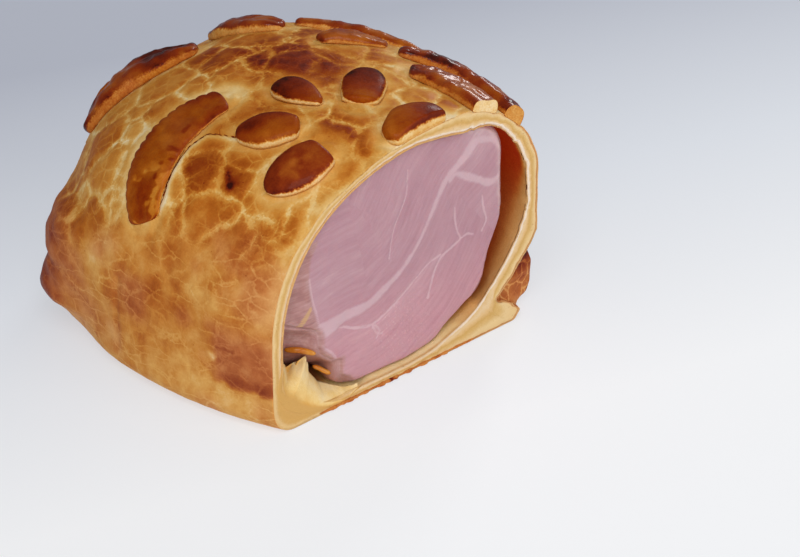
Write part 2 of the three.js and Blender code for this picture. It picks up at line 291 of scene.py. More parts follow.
# %% Seam, gathered lump and notch
SEAM_HEIGHT, SEAM_SPREAD, SEAM_BULGE = 19, 15, 5.5
SEAM_FROM, SEAM_TO, SEAM_FADE = -62, 150, 14
GATHER_ANGLE, GATHER_SPREAD, GATHER_HEIGHT, GATHER_TALL, GATHER_BULGE = 152, 12, 44, 29, 13.6
NOTCH_HEIGHT, NOTCH_ABOVE, NOTCH_POWER, NOTCH_DEPTH = 18, 31, 1.3, 29
LIP_HEIGHT, LIP_DEPTH = 4, 9


def turn(a, b):
    """Difference of two angles in degrees, wrapped to -180..180."""
    return (a - b + 180) % 360 - 180


def heading_of(p):
    """Angle in plan about the crown line, 0 to the far side."""
    return np.arctan2(p[..., 1] - CROWN[1], p[..., 0] - CROWN[0])


def gather_share(p):
    """1 on the lump of gathered dough at the near back, fading round it."""
    off = turn(np.degrees(heading_of(p)), GATHER_ANGLE) / GATHER_SPREAD
    return np.exp(-(off ** 2)) * np.exp(-(((p[..., 2] - GATHER_HEIGHT) / GATHER_TALL) ** 6))


def seam_share(p):
    """1 along the pressed seam low on the far side and the back, fading above and below."""
    heading = np.degrees(heading_of(p))
    along = smooth(heading, SEAM_FROM - SEAM_FADE, SEAM_FROM)
    along = along * (1 - smooth(heading, SEAM_TO, SEAM_TO + SEAM_FADE))
    return along * np.exp(-(((p[..., 2] - SEAM_HEIGHT) / SEAM_SPREAD) ** 4))


def seam_relief(p):
    """Moves the low skin out from the crown line by seam and gather, and in at the notch."""
    x, y, z = p[..., 0], p[..., 1], p[..., 2]
    heading = heading_of(p)
    wrinkle = 1 + 0.2 * np.sin(heading * 13) * np.cos(heading * 6 + 0.5)
    above = NOTCH_DEPTH * np.clip(1 - (z - NOTCH_HEIGHT) / NOTCH_ABOVE, 0, 1) ** NOTCH_POWER
    below = lerp(LIP_DEPTH, NOTCH_DEPTH, smooth(z, LIP_HEIGHT, NOTCH_HEIGHT))
    notch_depth = np.where(z > NOTCH_HEIGHT, above, below)
    far_side = smooth(x, CROWN[0] + 10, CROWN[0] + 40)
    notch_reach = 1 - smooth(y - CUT_Y, 4, 13)
    seam = SEAM_BULGE * wrinkle * seam_share(p) * (1 - notch_reach)
    out = seam + GATHER_BULGE * gather_share(p)
    grounded = smooth(z, 0, 8)
    return np.stack([
        x + np.cos(heading) * out * grounded - notch_depth * far_side * notch_reach,
        y + np.sin(heading) * out * grounded,
        z,
    ], -1)


corner = np.array([95.0, CUT_Y, NOTCH_HEIGHT])
print("the notch goes in by, mm:", (corner - seam_relief(corner))[0].round(1))

# %% [markdown]
# ## The hollow
# The ham's place is a closed curve of radii in the plane of the cut, from which the inner wall runs
# back and narrows, always a share of the way to the skin. At the near foot the dough rises towards
# the ham, so the wall is lifted there by a bell curve.

# %% Hollow of the crust
FILLET_ANGLE, FILLET_SPREAD, FILLET_RISE = 219, 20, 21
FILLET_FROM, FILLET_TO, FILLET_ENDS = 1, 22, 120


def cut_radius(around):
    """Radius of the loaf's outline in the plane of the cut, from the heart's line."""
    def within(middle):
        x, z = HEART[0] + middle * np.cos(around), HEART[2] + middle * np.sin(around)
        return loaf_level(np.stack([x, np.full_like(around, CUT_Y), z], -1)) < 1
    return halving(within, LONGEST_IN_CUT, around.shape)


def cut_tilt(radius):
    """Tilt of the ray that meets the plane of the cut at this radius."""
    return np.pi - np.arctan2(radius, HEART[1] - CUT_Y)


def through(values, place_on):
    """Smooth curve through a row of values, a cubic between each two of them. It is given at
    places counted in values, and the first value follows the last."""
    first = np.floor(place_on).astype(int)
    t = place_on - first
    a, b, c, d = (values[(first + offset) % len(values)] for offset in (-1, 0, 1, 2))
    t = t.reshape(t.shape + (1,) * (b.ndim - t.ndim))
    return b + 0.5 * t * (c - a + t * (2 * a - 5 * b + 4 * c - d + t * (3 * (b - c) + d - a)))


def hollow_radius(around):
    """Radius of the hollow at an angle, by the smooth curve through the listed radii."""
    count = len(HOLLOW_RADII)
    return through(HOLLOW_RADII, (around / (2 * np.pi) * count) % count)


def outer_grid(around, shares):
    """The skin along rays whose tilt is a share of the tilt at the cut: one row per share."""
    tilt = cut_tilt(cut_radius(around)) * shares[:, None]
    return seam_relief(skin_point(ray_direction(*np.broadcast_arrays(around, tilt))))


def hollow_grid(around, shares):
    """The inner wall: a share of the skin's length that goes from 0.89 at the back to the rim's
    own share at the cut, less the fillet of dough that rises towards the ham at the near foot."""
    radius = hollow_radius(around)
    tilt = cut_tilt(radius)
    at_cut = np.hypot(radius, HEART[1] - CUT_Y) / skin_length(ray_direction(around, tilt))
    direction = ray_direction(*np.broadcast_arrays(around, tilt * shares[:, None]))
    length = skin_length(direction) * lerp(BACK_WALL, at_cut, shares[:, None] ** 2)
    behind = HEART[1] + direction[..., 1] * length - CUT_Y
    off = turn(np.degrees(around), FILLET_ANGLE) / FILLET_SPREAD
    rise = FILLET_RISE * np.exp(-(off ** 2)) * smooth(behind, FILLET_FROM, FILLET_TO)
    rise = rise * (1 - smooth(behind, FILLET_TO, FILLET_ENDS))
    return HEART + direction * (length - rise)[..., None]


print("radii of the hollow, mm:", HOLLOW_RADII.min(), "to", HOLLOW_RADII.max())

# %% [markdown]
# ## From a grid to a Blender piece
# A closed piece is a stack of rings between two poles. The same helper stores fields on the mesh:
# numbers worked out per vertex, such as the distance to a crack. A distance blends cleanly between
# vertices, so the material can draw an edge from it that is finer than the mesh.

# %% Closed pieces from rings
def ring_faces(rings, columns):
    """Quads between neighbouring rings, and two fans that close the poles."""
    column = np.arange(columns)
    after = (column + 1) % columns
    start = 1 + np.arange(rings - 1)[:, None] * columns
    quads = np.stack([
        start + column, start + after, start + columns + after, start + columns + column,
    ], -1).reshape(-1, 4)
    base = 1 + (rings - 1) * columns
    last = 1 + rings * columns
    first_fan = np.stack([0 * column, 1 + after, 1 + column], -1)
    last_fan = np.stack([0 * column + last, base + column, base + after], -1)
    return quads, np.concatenate([first_fan, last_fan])


def enclosed(points, quads, fans):
    """Volume: the sum of a·(b × c) / 6 over the triangles, below zero if they face inwards."""
    corners = np.concatenate([quads[:, [0, 1, 2]], quads[:, [0, 2, 3]], fans])
    a, b, c = (points[corners[:, k]] for k in range(3))
    return dot(a, np.cross(b, c)).sum() / 6


print("faces between 3 rings of 8 points:", [len(part) for part in ring_faces(3, 8)])


# %% Pieces with stored fields
CUBIC_MM_IN_CM = 1000


def vectors(a, b, c):
    """Three numbers for each point, which is how a field is stored on the mesh."""
    return np.stack(np.broadcast_arrays(a, b, c), -1)


def with_poles(grid, first, last):
    """The points of a grid in one row, between two poles."""
    return np.concatenate([first[None], grid.reshape(-1, 3), last[None]])


def add_piece(name, grid, materials, node, fields, poles=None, ring_material=None):
    """Makes a closed mesh in metres from a grid with one ring per row, its faces outwards.

    The poles are the middles of the first and the last ring, unless they are given. A field has
    one vector for each point of the grid, and a pole takes it from its ring's first point.
    """
    rings, columns = grid.shape[:2]
    points = with_poles(grid, *(poles or (grid[0].mean(0), grid[-1].mean(0))))
    quads, fans = ring_faces(rings, columns)
    if enclosed(points, quads, fans) < 0:
        quads, fans = quads[:, ::-1], fans[:, ::-1]
    mesh = bpy.data.meshes.new(name)
    mesh.from_pydata(points * MM, [], quads.tolist() + fans.tolist())
    mesh.polygons.foreach_set("use_smooth", np.ones(len(mesh.polygons), bool))
    for field, values in fields.items():
        store = mesh.attributes.new(field, "FLOAT_VECTOR", "POINT")
        values = with_poles(values, values[0, 0], values[-1, 0])
        store.data.foreach_set("vector", values.astype(np.float32).ravel())
    for material in materials:
        mesh.materials.append(material)
    if ring_material is not None:
        index = np.zeros(len(mesh.polygons), np.int32)
        index[:len(quads)] = np.repeat(ring_material, columns)
        index[len(quads) + columns:] = ring_material[-1]
        mesh.polygons.foreach_set("material_index", index)
    mesh.update()
    piece = bpy.data.objects.new(name, mesh)
    bpy.context.scene.collection.objects.link(piece)
    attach(piece, "root")
    if node:
        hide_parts(node)
    volume = abs(enclosed(points, quads, fans)) / CUBIC_MM_IN_CM
    print(f"{name}: {2 * len(quads) + len(fans)} triangles, {volume:.1f} cm3")


def grid_normals(grid):
    """Across the rings times along them, turned to look away from the heart."""
    across = np.roll(grid, -1, 1) - np.roll(grid, 1, 1)
    along = np.gradient(grid, axis=0)
    normal = unit(np.cross(across, along))
    return np.where(dot(normal, grid - HEART)[..., None] < 0, -normal, normal)

# %% [markdown]
# ## Strips and petals: where they lie
# The trimmings are cut from rolled dough and laid on the loaf. Each follows a curve that is dropped
# onto the skin along rays from the heart. Their outlines come first, because the crust stays pale
# beside them, where the glaze ran thin.

# %% Places and sizes of the strips and petals
STRIPS = {
    "strip_1": dict(
        path=([-70, 93, 134], [-121, 111, 128], [-122, 86, 86]),
        breadth=29, lift=3.5, scallops=16, squared=0.34,
    ),
    "strip_2": dict(
        path=([-93, 192, 92], [-68, 189, 120], [-34, 158, 130]), breadth=33, lift=9, scallops=10,
    ),
    "strip_3": dict(
        path=([-8, 173, 121], [-12, 150, 127], [1, 130, 134]), breadth=20, lift=7, scallops=7,
    ),
    "strip_4": dict(
        path=([18, 140, 136], [43, 116, 132], [51, 73, 122]), breadth=17, lift=6, scallops=9,
    ),
    "strip_5": dict(
        path=([0, 101, 142], [13, 98, 140], [24, 79, 134]), breadth=15, lift=5, scallops=6,
    ),
    "strip_6": dict(
        path=([23, 68, 136], [60, 39, 126], [34, -34, 115]), breadth=18, lift=7.5, scallops=14,
    ),
    "strip_7": dict(
        path=([12, 45, 139], [28, 28, 134], [18, -34, 127]), breadth=20, lift=6, scallops=10,
    ),
}
PETALS = {
    "petal_1": dict(
        path=([-66, 40, 134], None, [-86, 65, 128]),
        breadth=23, lift=5.5, outline=(0.55, 0.45, 0.62),
    ),
    "petal_2": dict(
        path=([-45, 48, 138], None, [-47, 79, 139]), breadth=20, lift=4, outline=(0.2, 0.68, 0.5),
    ),
    "petal_3": dict(
        path=([-31, 35, 138], None, [-5, 57, 141]), breadth=23, lift=4, outline=(0.75, 0.5, 0.5),
    ),
    "petal_4": dict(
        path=([-41, 6, 131], None, [-6, 3, 135]), breadth=27, lift=7, outline=(0.35, 0.5, 0.5),
    ),
    "petal_5": dict(
        path=([-67, 21, 128], None, [-102, 25, 117]),
        breadth=25, lift=4.5, outline=(0.7, 0.38, 0.66),
    ),
}

print("trimmings:", len(STRIPS), "strips and", len(PETALS), "petals")


# %% Curves on the skin
def skin_drop(p):
    """Where the ray from the heart through p meets the skin."""
    return skin_point(unit(p - HEART))


def plan_curve(path, s):
    """Curve bent by its middle point: (1-s)² a + 2s(1-s) b + s² c, dropped onto the skin."""
    a, b, c = path
    a, c = np.array(a, float), np.array(c, float)
    b = (a + c) / 2 if b is None else np.array(b, float)
    s = np.asarray(s, float)[..., None]
    p = (1 - s) ** 2 * a + 2 * s * (1 - s) * b + s ** 2 * c
    return skin_drop(p + (CROWN[0], CUT_Y, 0))


def skin_normal(p):
    """Square to the skin, from two points a little to the side and a little along."""
    away = unit(p - HEART)
    across = unit(np.cross(away, (0, 1, 0.3)))
    along = np.cross(away, across)
    u = skin_drop(p + 1.5 * across) - p
    v = skin_drop(p + 1.5 * along) - p
    normal = unit(np.cross(u, v))
    return np.where(dot(normal, away)[..., None] < 0, -normal, normal)


def swell(s):
    """Half a sine wave along the piece, a little above 0 at both ends and 1 in the middle."""
    return np.sin(np.pi * (0.08 + 0.84 * s))


def strip_width(trim, s):
    """Half the breadth along a strip, which is drawn in at both ends."""
    return trim["breadth"] / 2 * swell(s) ** trim.get("squared", 0.5)


def petal_width(trim, s):
    """Opens from the inner end to its widest place, then closes: bluntness 0.5 is a round end."""
    inner, widest, blunt = trim["outline"]
    opening = inner + (1 - inner) * np.sin(np.pi / 2 * np.clip(s / widest, 0, 1))
    closing = (1 - np.clip((s - widest) / (1.02 - widest), 0, 1) ** 2) ** blunt
    return trim["breadth"] / 2 * opening * closing


def distance_to_trim(p, trim, width):
    """Distance from the points to the outline of a strip or petal, below zero under it."""
    s = np.linspace(0, 1, 41)
    best = np.full(p.shape[:-1], 1e3)
    for middle, half in zip(plan_curve(trim["path"], s), width(trim, s)):
        best = np.minimum(best, np.linalg.norm(p - middle, axis=-1) - half)
    return best


for name, trim in {**STRIPS, **PETALS}.items():
    steps = np.diff(plan_curve(trim["path"], np.linspace(0, 1, 41)), axis=0)
    print(f"{name}: {np.linalg.norm(steps, axis=-1).sum():.0f} mm long")

# %% [markdown]
# ## Nodes from code
# A finish is a chain of nodes, and it could be drawn by hand in the node editor. Written as code
# it can be read from top to bottom like a sum. A few short helpers add a node, link what is a
# socket and set what is a number. Sizes are in millimetres, as in the shapes.

# %% Small helpers for material nodes
def paint(red, green, blue):
    """A colour as a paint chart gives it, 0 to 255, turned into the linear light Blender uses."""
    share = np.array([red, green, blue]) / 255
    linear = np.where(share <= 0.04045, share / 12.92, ((share + 0.055) / 1.055) ** 2.4)
    return (*linear.tolist(), 1.0)


def feed(tree, socket, value):
    """Links a socket to another one, or sets it to a number or a colour."""
    if isinstance(value, bpy.types.NodeSocket):
        tree.links.new(value, socket)
    else:
        socket.default_value = value


def place(tree, kind, inputs=(), **settings):
    """Adds a node, sets it up, and feeds each of the inputs given by name or number."""
    node = tree.nodes.new(kind)
    for name, value in settings.items():
        setattr(node, name, value)
    for key, value in dict(inputs).items():
        feed(tree, node.inputs[key], value)
    return node


print("gold of the plates as linear light:", np.round(paint(205, 135, 48), 3).tolist())


# %% Sums and steps in nodes
def calc(tree, operation, a, b=0.0, c=0.0, clamp=False):
    """One step of arithmetic on two or three numbers."""
    inputs = {0: a, 1: b, 2: c}
    return place(tree, "ShaderNodeMath", inputs, operation=operation, use_clamp=clamp).outputs[0]


def times(tree, a, b):
    """a times b."""
    return calc(tree, "MULTIPLY", a, b)


def plus(tree, base, *terms, clamp=False):
    """The base plus each value times its factor. Clamped, the sum stays between 0 and 1."""
    for value, factor in terms:
        base = calc(tree, "MULTIPLY_ADD", value, factor, base, clamp=clamp)
    return base


def step(tree, value, low, high, to_low=0.0, to_high=1.0):
    """Smooth step of a value from low to high."""
    return place(
        tree, "ShaderNodeMapRange", {0: value, 1: low, 2: high, 3: to_low, 4: to_high},
        interpolation_type="SMOOTHSTEP",
    ).outputs[0]


def fade(tree, value, low, high):
    """1 up to low, then smoothly down to 0 at high."""
    return step(tree, value, low, high, 1.0, 0.0)


def blend(tree, share, a, b):
    """Colour a where the share is 0, colour b where it is 1."""
    return place(tree, "ShaderNodeMix", {0: share, 6: a, 7: b}, data_type="RGBA").outputs[2]


# %% Patterns in nodes
def noise(tree, vector, size, detail):
    """Noise with blobs of the given size in millimetres."""
    inputs = {"Vector": vector, "Scale": 1 / (size * MM), "Detail": detail}
    return place(tree, "ShaderNodeTexNoise", inputs)


def speckle(tree, vector, size, detail):
    """Noise as a number from -0.5 to 0.5."""
    return calc(tree, "SUBTRACT", noise(tree, vector, size, detail).outputs[0], 0.5)


def vector_calc(tree, operation, inputs):
    """One step of arithmetic on vectors."""
    return place(tree, "ShaderNodeVectorMath", inputs, operation=operation).outputs[0]


def wandering(tree, vector, size, reach):
    """The place moved about by noise, so that straight borders turn into wandering ones."""
    colour = noise(tree, vector, size, 3.0).outputs["Color"]
    centred = vector_calc(tree, "SUBTRACT", {0: colour, 1: (0.5, 0.5, 0.5)})
    moved = vector_calc(tree, "SCALE", {0: centred, "Scale": reach * MM})
    return vector_calc(tree, "ADD", {0: vector, 1: moved})


def cells(tree, vector, size, **settings):
    """Distance in random cells of the given size, from the middle of each unless set otherwise."""
    inputs = {"Vector": vector, "Scale": 1 / (size * MM), "Randomness": 1.0}
    return place(tree, "ShaderNodeTexVoronoi", inputs, **settings).outputs["Distance"]


def net(tree, vector, size):
    """Distance in millimetres to the border of random cells of the given size."""
    return times(tree, cells(tree, vector, size, feature="DISTANCE_TO_EDGE"), size)


def object_place(tree):
    """The place on the object, in its own coordinates."""
    return place(tree, "ShaderNodeTexCoord").outputs["Object"]


def fields_of(tree, name):
    """The three numbers of a field that was stored on the mesh."""
    field = place(tree, "ShaderNodeAttribute", attribute_name=name)
    return place(tree, "ShaderNodeSeparateXYZ", {0: field.outputs["Vector"]}).outputs[:]


# %% Ramps, bumps and the shader
def ramp(tree, value, stops):
    """Colour from a number, by a row of colours at their places from 0 to 1."""
    node = place(tree, "ShaderNodeValToRGB", {0: value})
    elements = node.color_ramp.elements
    while len(elements) < len(stops):
        elements.new(0.5)
    for element, (position, colour) in zip(elements, stops):
        element.position = position
        element.color = paint(*colour)
    return node.outputs[0]


def bumps(tree, strength, distance, height):
    """Normals tilted by a height, in metres for a height of 1."""
    inputs = {"Strength": strength, "Distance": distance, "Height": height}
    return place(tree, "ShaderNodeBump", inputs).outputs[0]


def new_material(name):
    """An empty material and its node tree."""
    material = bpy.data.materials.new(name)
    material.use_nodes = True
    material.node_tree.nodes.clear()
    return material, material.node_tree


def finish_material(tree, inputs):
    """Adds the shader and the output, and says how many nodes the material has."""
    shader = place(tree, "ShaderNodeBsdfPrincipled", inputs)
    place(tree, "ShaderNodeOutputMaterial", {"Surface": shader.outputs[0]})
    print("nodes in this material:", len(tree.nodes))

# %% [markdown]
# ## Colours of baking
# Dough goes from cream to gold, brown and nearly black as it bakes. One number, the browning,
# stands for how far that has gone, and a colour ramp turns it into a colour. Each material works
# out its own browning, so the ramp is a node group that all of them share.

# %% Node group: colour from browning
PLAIN_STOPS = [
    (0.00, (242, 220, 174)), (0.15, (236, 200, 130)), (0.30, (222, 168, 84)),
    (0.45, (205, 135, 48)), (0.58, (184, 103, 24)), (0.70, (158, 76, 9)),
    (0.82, (134, 46, 3)), (0.92, (103, 27, 2)), (1.00, (56, 12, 3)),
]
MALT_STOPS = [
    (0.00, (238, 208, 178)), (0.30, (220, 158, 106)), (0.45, (202, 130, 82)),
    (0.58, (180, 101, 60)), (0.70, (158, 78, 44)), (0.82, (130, 52, 30)),
    (0.92, (98, 32, 22)), (1.00, (56, 20, 18)),
]


def browning_group():
    """Browning and blush in, colour out. Blush moves the brown towards the red of malt."""
    group = bpy.data.node_groups.new("colour_of_baking", "ShaderNodeTree")
    for name in ("Browning", "Blush"):
        group.interface.new_socket(name=name, in_out="INPUT", socket_type="NodeSocketFloat")
    group.interface.new_socket(name="Color", in_out="OUTPUT", socket_type="NodeSocketColor")
    browning, blush = group.nodes.new("NodeGroupInput").outputs[:2]
    plain, malt = (ramp(group, browning, stops) for stops in (PLAIN_STOPS, MALT_STOPS))
    leave = group.nodes.new("NodeGroupOutput")
    group.links.new(blend(group, blush, plain, malt), leave.inputs[0])
    return group


baking = browning_group()
print("sockets of the group:", [item.name for item in baking.interface.items_tree])


def baked_colour(tree, browning, blush):
    """Colour of dough that is baked this far, from the shared node group."""
    node = place(tree, "ShaderNodeGroup", node_tree=baking)
    feed(tree, node.inputs[0], browning)
    feed(tree, node.inputs[1], blush)
    return node.outputs[0]

# %% [markdown]
# ## Finish of the crust
# The glaze baked to golden plates, and where the dough stretched as it rose, pale cracks opened
# between them. The mesh carries the distance to the coarse cracks, because they are real furrows.
# Finer nets of hairlines come from the material: one on the top, one that slants down the sides.
# The browning drops towards each crack, softly at first and then at once.

# %% Material: baked crust
def crust_material():
    """Browning of the plates, less the cracks and hairlines, plus painted shade in the slit."""
    material, tree = new_material("baked_crust")
    spot = object_place(tree)
    tone, blush, gloss = fields_of(tree, "bake")
    coarse, top_in, depth = fields_of(tree, "cracks")
    groove, wrinkled, pale = fields_of(tree, "marks")
    groove_in = fields_of(tree, "spans")[0]
    wavy, grain = speckle(tree, spot, 6, 3), speckle(tree, spot, 1.1, 3)
    blotch = speckle(tree, spot, 13, 4)

    # Cracks between the plates, and a net of hairlines on them.
    edge = plus(tree, coarse, (grain, 1.4), (wavy, 4.0))
    shoulder = step(tree, edge, 0.2, 3.4)
    crack = fade(tree, edge, 0.15, 1.05)
    strand = step(tree, plus(tree, 0.5, (blotch, 1.0)), 0.36, 0.62)
    fine = plus(tree, net(tree, wandering(tree, spot, 7, 5.0), 10), (grain, 0.5))
    thin = times(tree, fade(tree, fine, 0.05, 0.65), strand)
    soft = fade(tree, fine, 0.2, 2.6)
    dip = plus(tree, -0.17, (shoulder, 0.17), (crack, -0.15), (thin, -0.13), (soft, -0.05))
    cloudy = plus(tree, 0.60, (top_in, -0.20))
    browning = plus(tree, tone, (dip, depth), (blotch, cloudy), (wavy, 0.15), (grain, 0.10))

    # Hairlines that slant down the sides, the plait at the far foot, and pores, darker inside:
    # painted shade.
    slanted = place(tree, "ShaderNodeMapping", {
        "Vector": wandering(tree, spot, 12, 7.0),
        "Rotation": (0.75, 0.0, 0.0), "Scale": (1.0, 0.42, 1.15),
    }).outputs[0]
    hair = fade(tree, plus(tree, net(tree, slanted, 8), (grain, 0.6)), 0.0, 0.6)
    hair = times(tree, hair, calc(tree, "SUBTRACT", 1.0, top_in))
    hair = times(tree, hair, plus(tree, 0.05, (strand, 0.9)))
    plait = plus(tree, net(tree, wandering(tree, spot, 8, 6.0), 10), (grain, 0.6))
    plait = times(tree, fade(tree, plait, 0.1, 0.8), wrinkled)
    shaded_pore = times(tree, fade(tree, cells(tree, spot, 4.5), 0.05, 0.12), step(tree, wavy, 0.04, 0.16))
    browning = plus(tree, browning, (hair, -0.13), (plait, -0.18), (pale, -0.5), (shaded_pore, 0.16))

    # Painted shade in the slit, as dark as burnt dough where the slit is deepest.
    from_slit = calc(tree, "ABSOLUTE", plus(tree, groove, (wavy, 1.6)))
    slit = times(tree, fade(tree, plus(tree, from_slit, (grain, 0.5)), 0.25, 0.7), groove_in)
    browning = calc(tree, "MAXIMUM", browning, times(tree, slit, 0.93))

    lines = calc(tree, "MAXIMUM", crack, calc(tree, "MAXIMUM", thin, plait))
    coarser = speckle(tree, spot, 3, 3)
    height = plus(tree, grain, (lines, times(tree, depth, -0.5)), (coarser, 1.1), (shaded_pore, -0.9))
    shine = plus(tree, gloss, (crack, -0.3), clamp=True)
    finish_material(tree, {
        "Base Color": baked_colour(tree, browning, blush),
        "Roughness": plus(tree, 0.64, (shine, -0.2)),
        "Normal": bumps(tree, 0.4, 0.0006, height),
        "Coat Weight": times(tree, shine, 0.10),
        "Coat Roughness": 0.3,
        "Specular IOR Level": 0.06,
    })
    return material


baked_crust = crust_material()

# %% [markdown]
# ## Finish of the crumb
# Behind the glaze the dough is pale. In the cut it goes from cream at the outside through tan to a
# white line at the inner lip, where steam kept it soft. On the far side a thin brown skin shows
# outside. Inside the hollow it took up juices of the ham. The thin far wall has a painted orange
# glow, an emission that stands in for daylight shining through it from behind. The rim field holds
# millimetres from the outer edge, from the inner lip, and behind the cut.

# %% Material: crumb
CRUMB_LAYERS = [
    (0.00, (226, 190, 132)), (0.20, (228, 196, 142)), (0.38, (214, 174, 108)),
    (0.50, (206, 162, 92)), (0.62, (222, 182, 124)), (0.76, (226, 196, 152)),
    (0.90, (222, 186, 134)), (1.00, (212, 166, 108)),
]


def crumb_material():
    """Layers of the dough across the cut, and the baked wall of the hollow behind it."""
    material, tree = new_material("pale_crumb")
    spot = object_place(tree)
    outer, inner, behind = fields_of(tree, "rim")
    tone, blush, glow = fields_of(tree, "bake")
    skin_in, white_in, shade = fields_of(tree, "edge")
    grain, wavy = speckle(tree, spot, 0.9, 3), speckle(tree, spot, 5, 3)

    # Across the cut: the layers, the white line at the lip, the pores with painted shade in them, a
    # tan shade, the skin.
    both_ways = calc(tree, "ADD", calc(tree, "ADD", outer, inner), 0.01)
    share = plus(tree, calc(tree, "DIVIDE", outer, both_ways), (grain, 0.16), (wavy, 0.30))
    colour = ramp(tree, share, CRUMB_LAYERS)
    line = plus(tree, inner, (grain, 0.5), (wavy, 1.2))
    white = times(tree, step(tree, line, 0.3, 0.9), fade(tree, line, 1.7, 2.5))
    colour = blend(tree, times(tree, white, white_in), colour, paint(234, 216, 196))
    shaded_pores = times(tree, fade(tree, cells(tree, spot, 2.6), 0.06, 0.2), step(tree, wavy, -0.04, 0.1))
    colour = blend(tree, times(tree, shaded_pores, 0.5), colour, paint(186, 130, 60))
    tan = plus(tree, shade, (grain, 0.4), clamp=True)
    colour = blend(tree, tan, colour, paint(208, 160, 88))
    from_skin = plus(tree, outer, (grain, 1.2), (wavy, 1.5))
    skin_line = times(tree, fade(tree, from_skin, 0.4, 1.5), skin_in)
    colour = blend(tree, skin_line, colour, paint(188, 108, 42))

    # Behind the cut: the wall of the hollow, baked as far as its field says, with painted shade
    # deeper in.
    browning = plus(tree, tone, (wavy, 0.14), (grain, 0.12))
    in_face = fade(tree, behind, 0.4, 2.2)
    finish_material(tree, {
        "Base Color": blend(tree, in_face, baked_colour(tree, browning, blush), colour),
        "Roughness": 0.66,
        "Normal": bumps(tree, 0.4, 0.0006, plus(tree, grain, (wavy, 0.8), (shaded_pores, -1.0))),
        "Specular IOR Level": 0.2,
        # Painted glow on the far wall: an emission that stands in for light shining through it.
        "Emission Color": blend(tree, glow, paint(0, 0, 0), paint(214, 46, 4)),
        "Emission Strength": 0.2,
    })
    return material


pale_crumb = crumb_material()

# %% [markdown]
# ## The crust
# One closed skin: out from the back end to the cut, across the cut, and back inside the hollow.
# Columns lie closer on the sides and the top than on the base, which nobody sees.

# %% Grid of the crust
COLUMNS = 420
OUTER_RINGS, FACE_RINGS, HOLLOW_RINGS = 160, 24, 46
BASE_ANGLE, FAR_FOOT_ANGLE = 272, 328


def spaced_angles(count):
    """Angles round the loaf, spaced by a density that is low under the base."""
    angle = np.linspace(0, 2 * np.pi, 2001)
    degrees = np.degrees(angle)
    density = 1 - 0.5 * np.exp(-((turn(degrees, BASE_ANGLE) / 26) ** 4))
    density = density + 0.5 * np.exp(-((turn(degrees, FAR_FOOT_ANGLE) / 10) ** 4))
    walked = np.concatenate([[0], np.cumsum((density[1:] + density[:-1]) / 2)])
    return np.interp(np.arange(count) / count, walked / walked[-1], angle)


around = spaced_angles(COLUMNS)
outer_shares = 1 - (1 - np.arange(1, OUTER_RINGS + 1) / OUTER_RINGS) ** 1.25
skin = outer_grid(around, outer_shares)
skin[-1, :, 1] = CUT_Y
print("skin grid:", skin.shape, "highest mm:", round(skin[..., 2].max(), 1))

# %% [markdown]
# ## What lies where on the crust
# Colour and relief both ask the same things of each point: is it on the top, how far is it from a
# crack, and how far from a trimming. So these fields are worked out once, before either.

# %% Fields of the crust: cracks, trimmings, stains
PLATE_SIZE, PLATE_SEED = 23, 21
FAR_AWAY = 1e3


def near(p, centre, radius):
    """1 at a spot, fading out round it as a bell curve."""
    away = np.linalg.norm(p - np.array(centre, float), axis=-1) / radius
    return np.exp(-(away ** 2))


def side_of_line(p, points):
    """Distance to a chain of straight pieces, above zero on one side and below on the other, and
    the share of the chain walked at the nearest place. Seen from the heart outwards, the side is
    the sign of (b - a) x (p - a)."""
    best = np.full(p.shape[:-1], FAR_AWAY)
    side, share = np.ones(p.shape[:-1]), np.zeros(p.shape[:-1])
    points = np.array(points, float)
    for k, (a, b) in enumerate(zip(points[:-1], points[1:])):
        t = dot(p - a, b - a) / dot(b - a, b - a)
        off = np.linalg.norm(p - a - np.clip(t, 0, 1)[..., None] * (b - a), axis=-1)
        turned = np.sign(dot(np.cross(b - a, p - a), p - HEART))
        closer = off < best
        best = np.where(closer, off, best)
        side = np.where(closer, turned, side)
        share = np.where(closer, k + t, share)
    return best * side, share


height = skin[..., 2]
from_cut = skin[..., 1] - CUT_Y
top = smooth(height + 7 * clouds(skin, 30, 3) + 30 * near(skin, (-95, 22, 84), 42), 80, 106)
warped = skin + 3.5 * np.stack([clouds(skin, 20, seed) for seed in (11, 12, 13)], -1)
coarse, plate_number = plates(warped * (1, 1, 0.8), PLATE_SIZE, PLATE_SEED)
to_strips = [distance_to_trim(skin, strip, strip_width) for strip in STRIPS.values()]
to_petals = [distance_to_trim(skin, petal, petal_width) for petal in PETALS.values()]
to_trims = np.min(to_strips + to_petals, axis=0)
print("share of the skin under trimmings:", round((to_trims < 0).mean(), 3))

# %% [markdown]
# ## Browning
# Colour follows the heat of the oven: the top is darkest, the foot paler, the thick lump nearly
# burnt. Stains, where juice ran out and baked, are bell curves at their own places. Beside each
# trimming and at the cut the dough stayed light, because the heat reached it late.

# %% Browning of the crust
SLIT = [
    (-52.3, -47.1, 126.6), (-57.8, -31.5, 124.2), (-66.4, -27.1, 119.6), (-78, -28, 111.5),
    (-84.5, -30, 105), (-87.6, -32, 100.8), (-92.2, -32, 94.8),
]
SLIT_BRANCH = [(-56, -36, 125), (-53.5, -43, 126.2), (-49, -50, 127.5)]
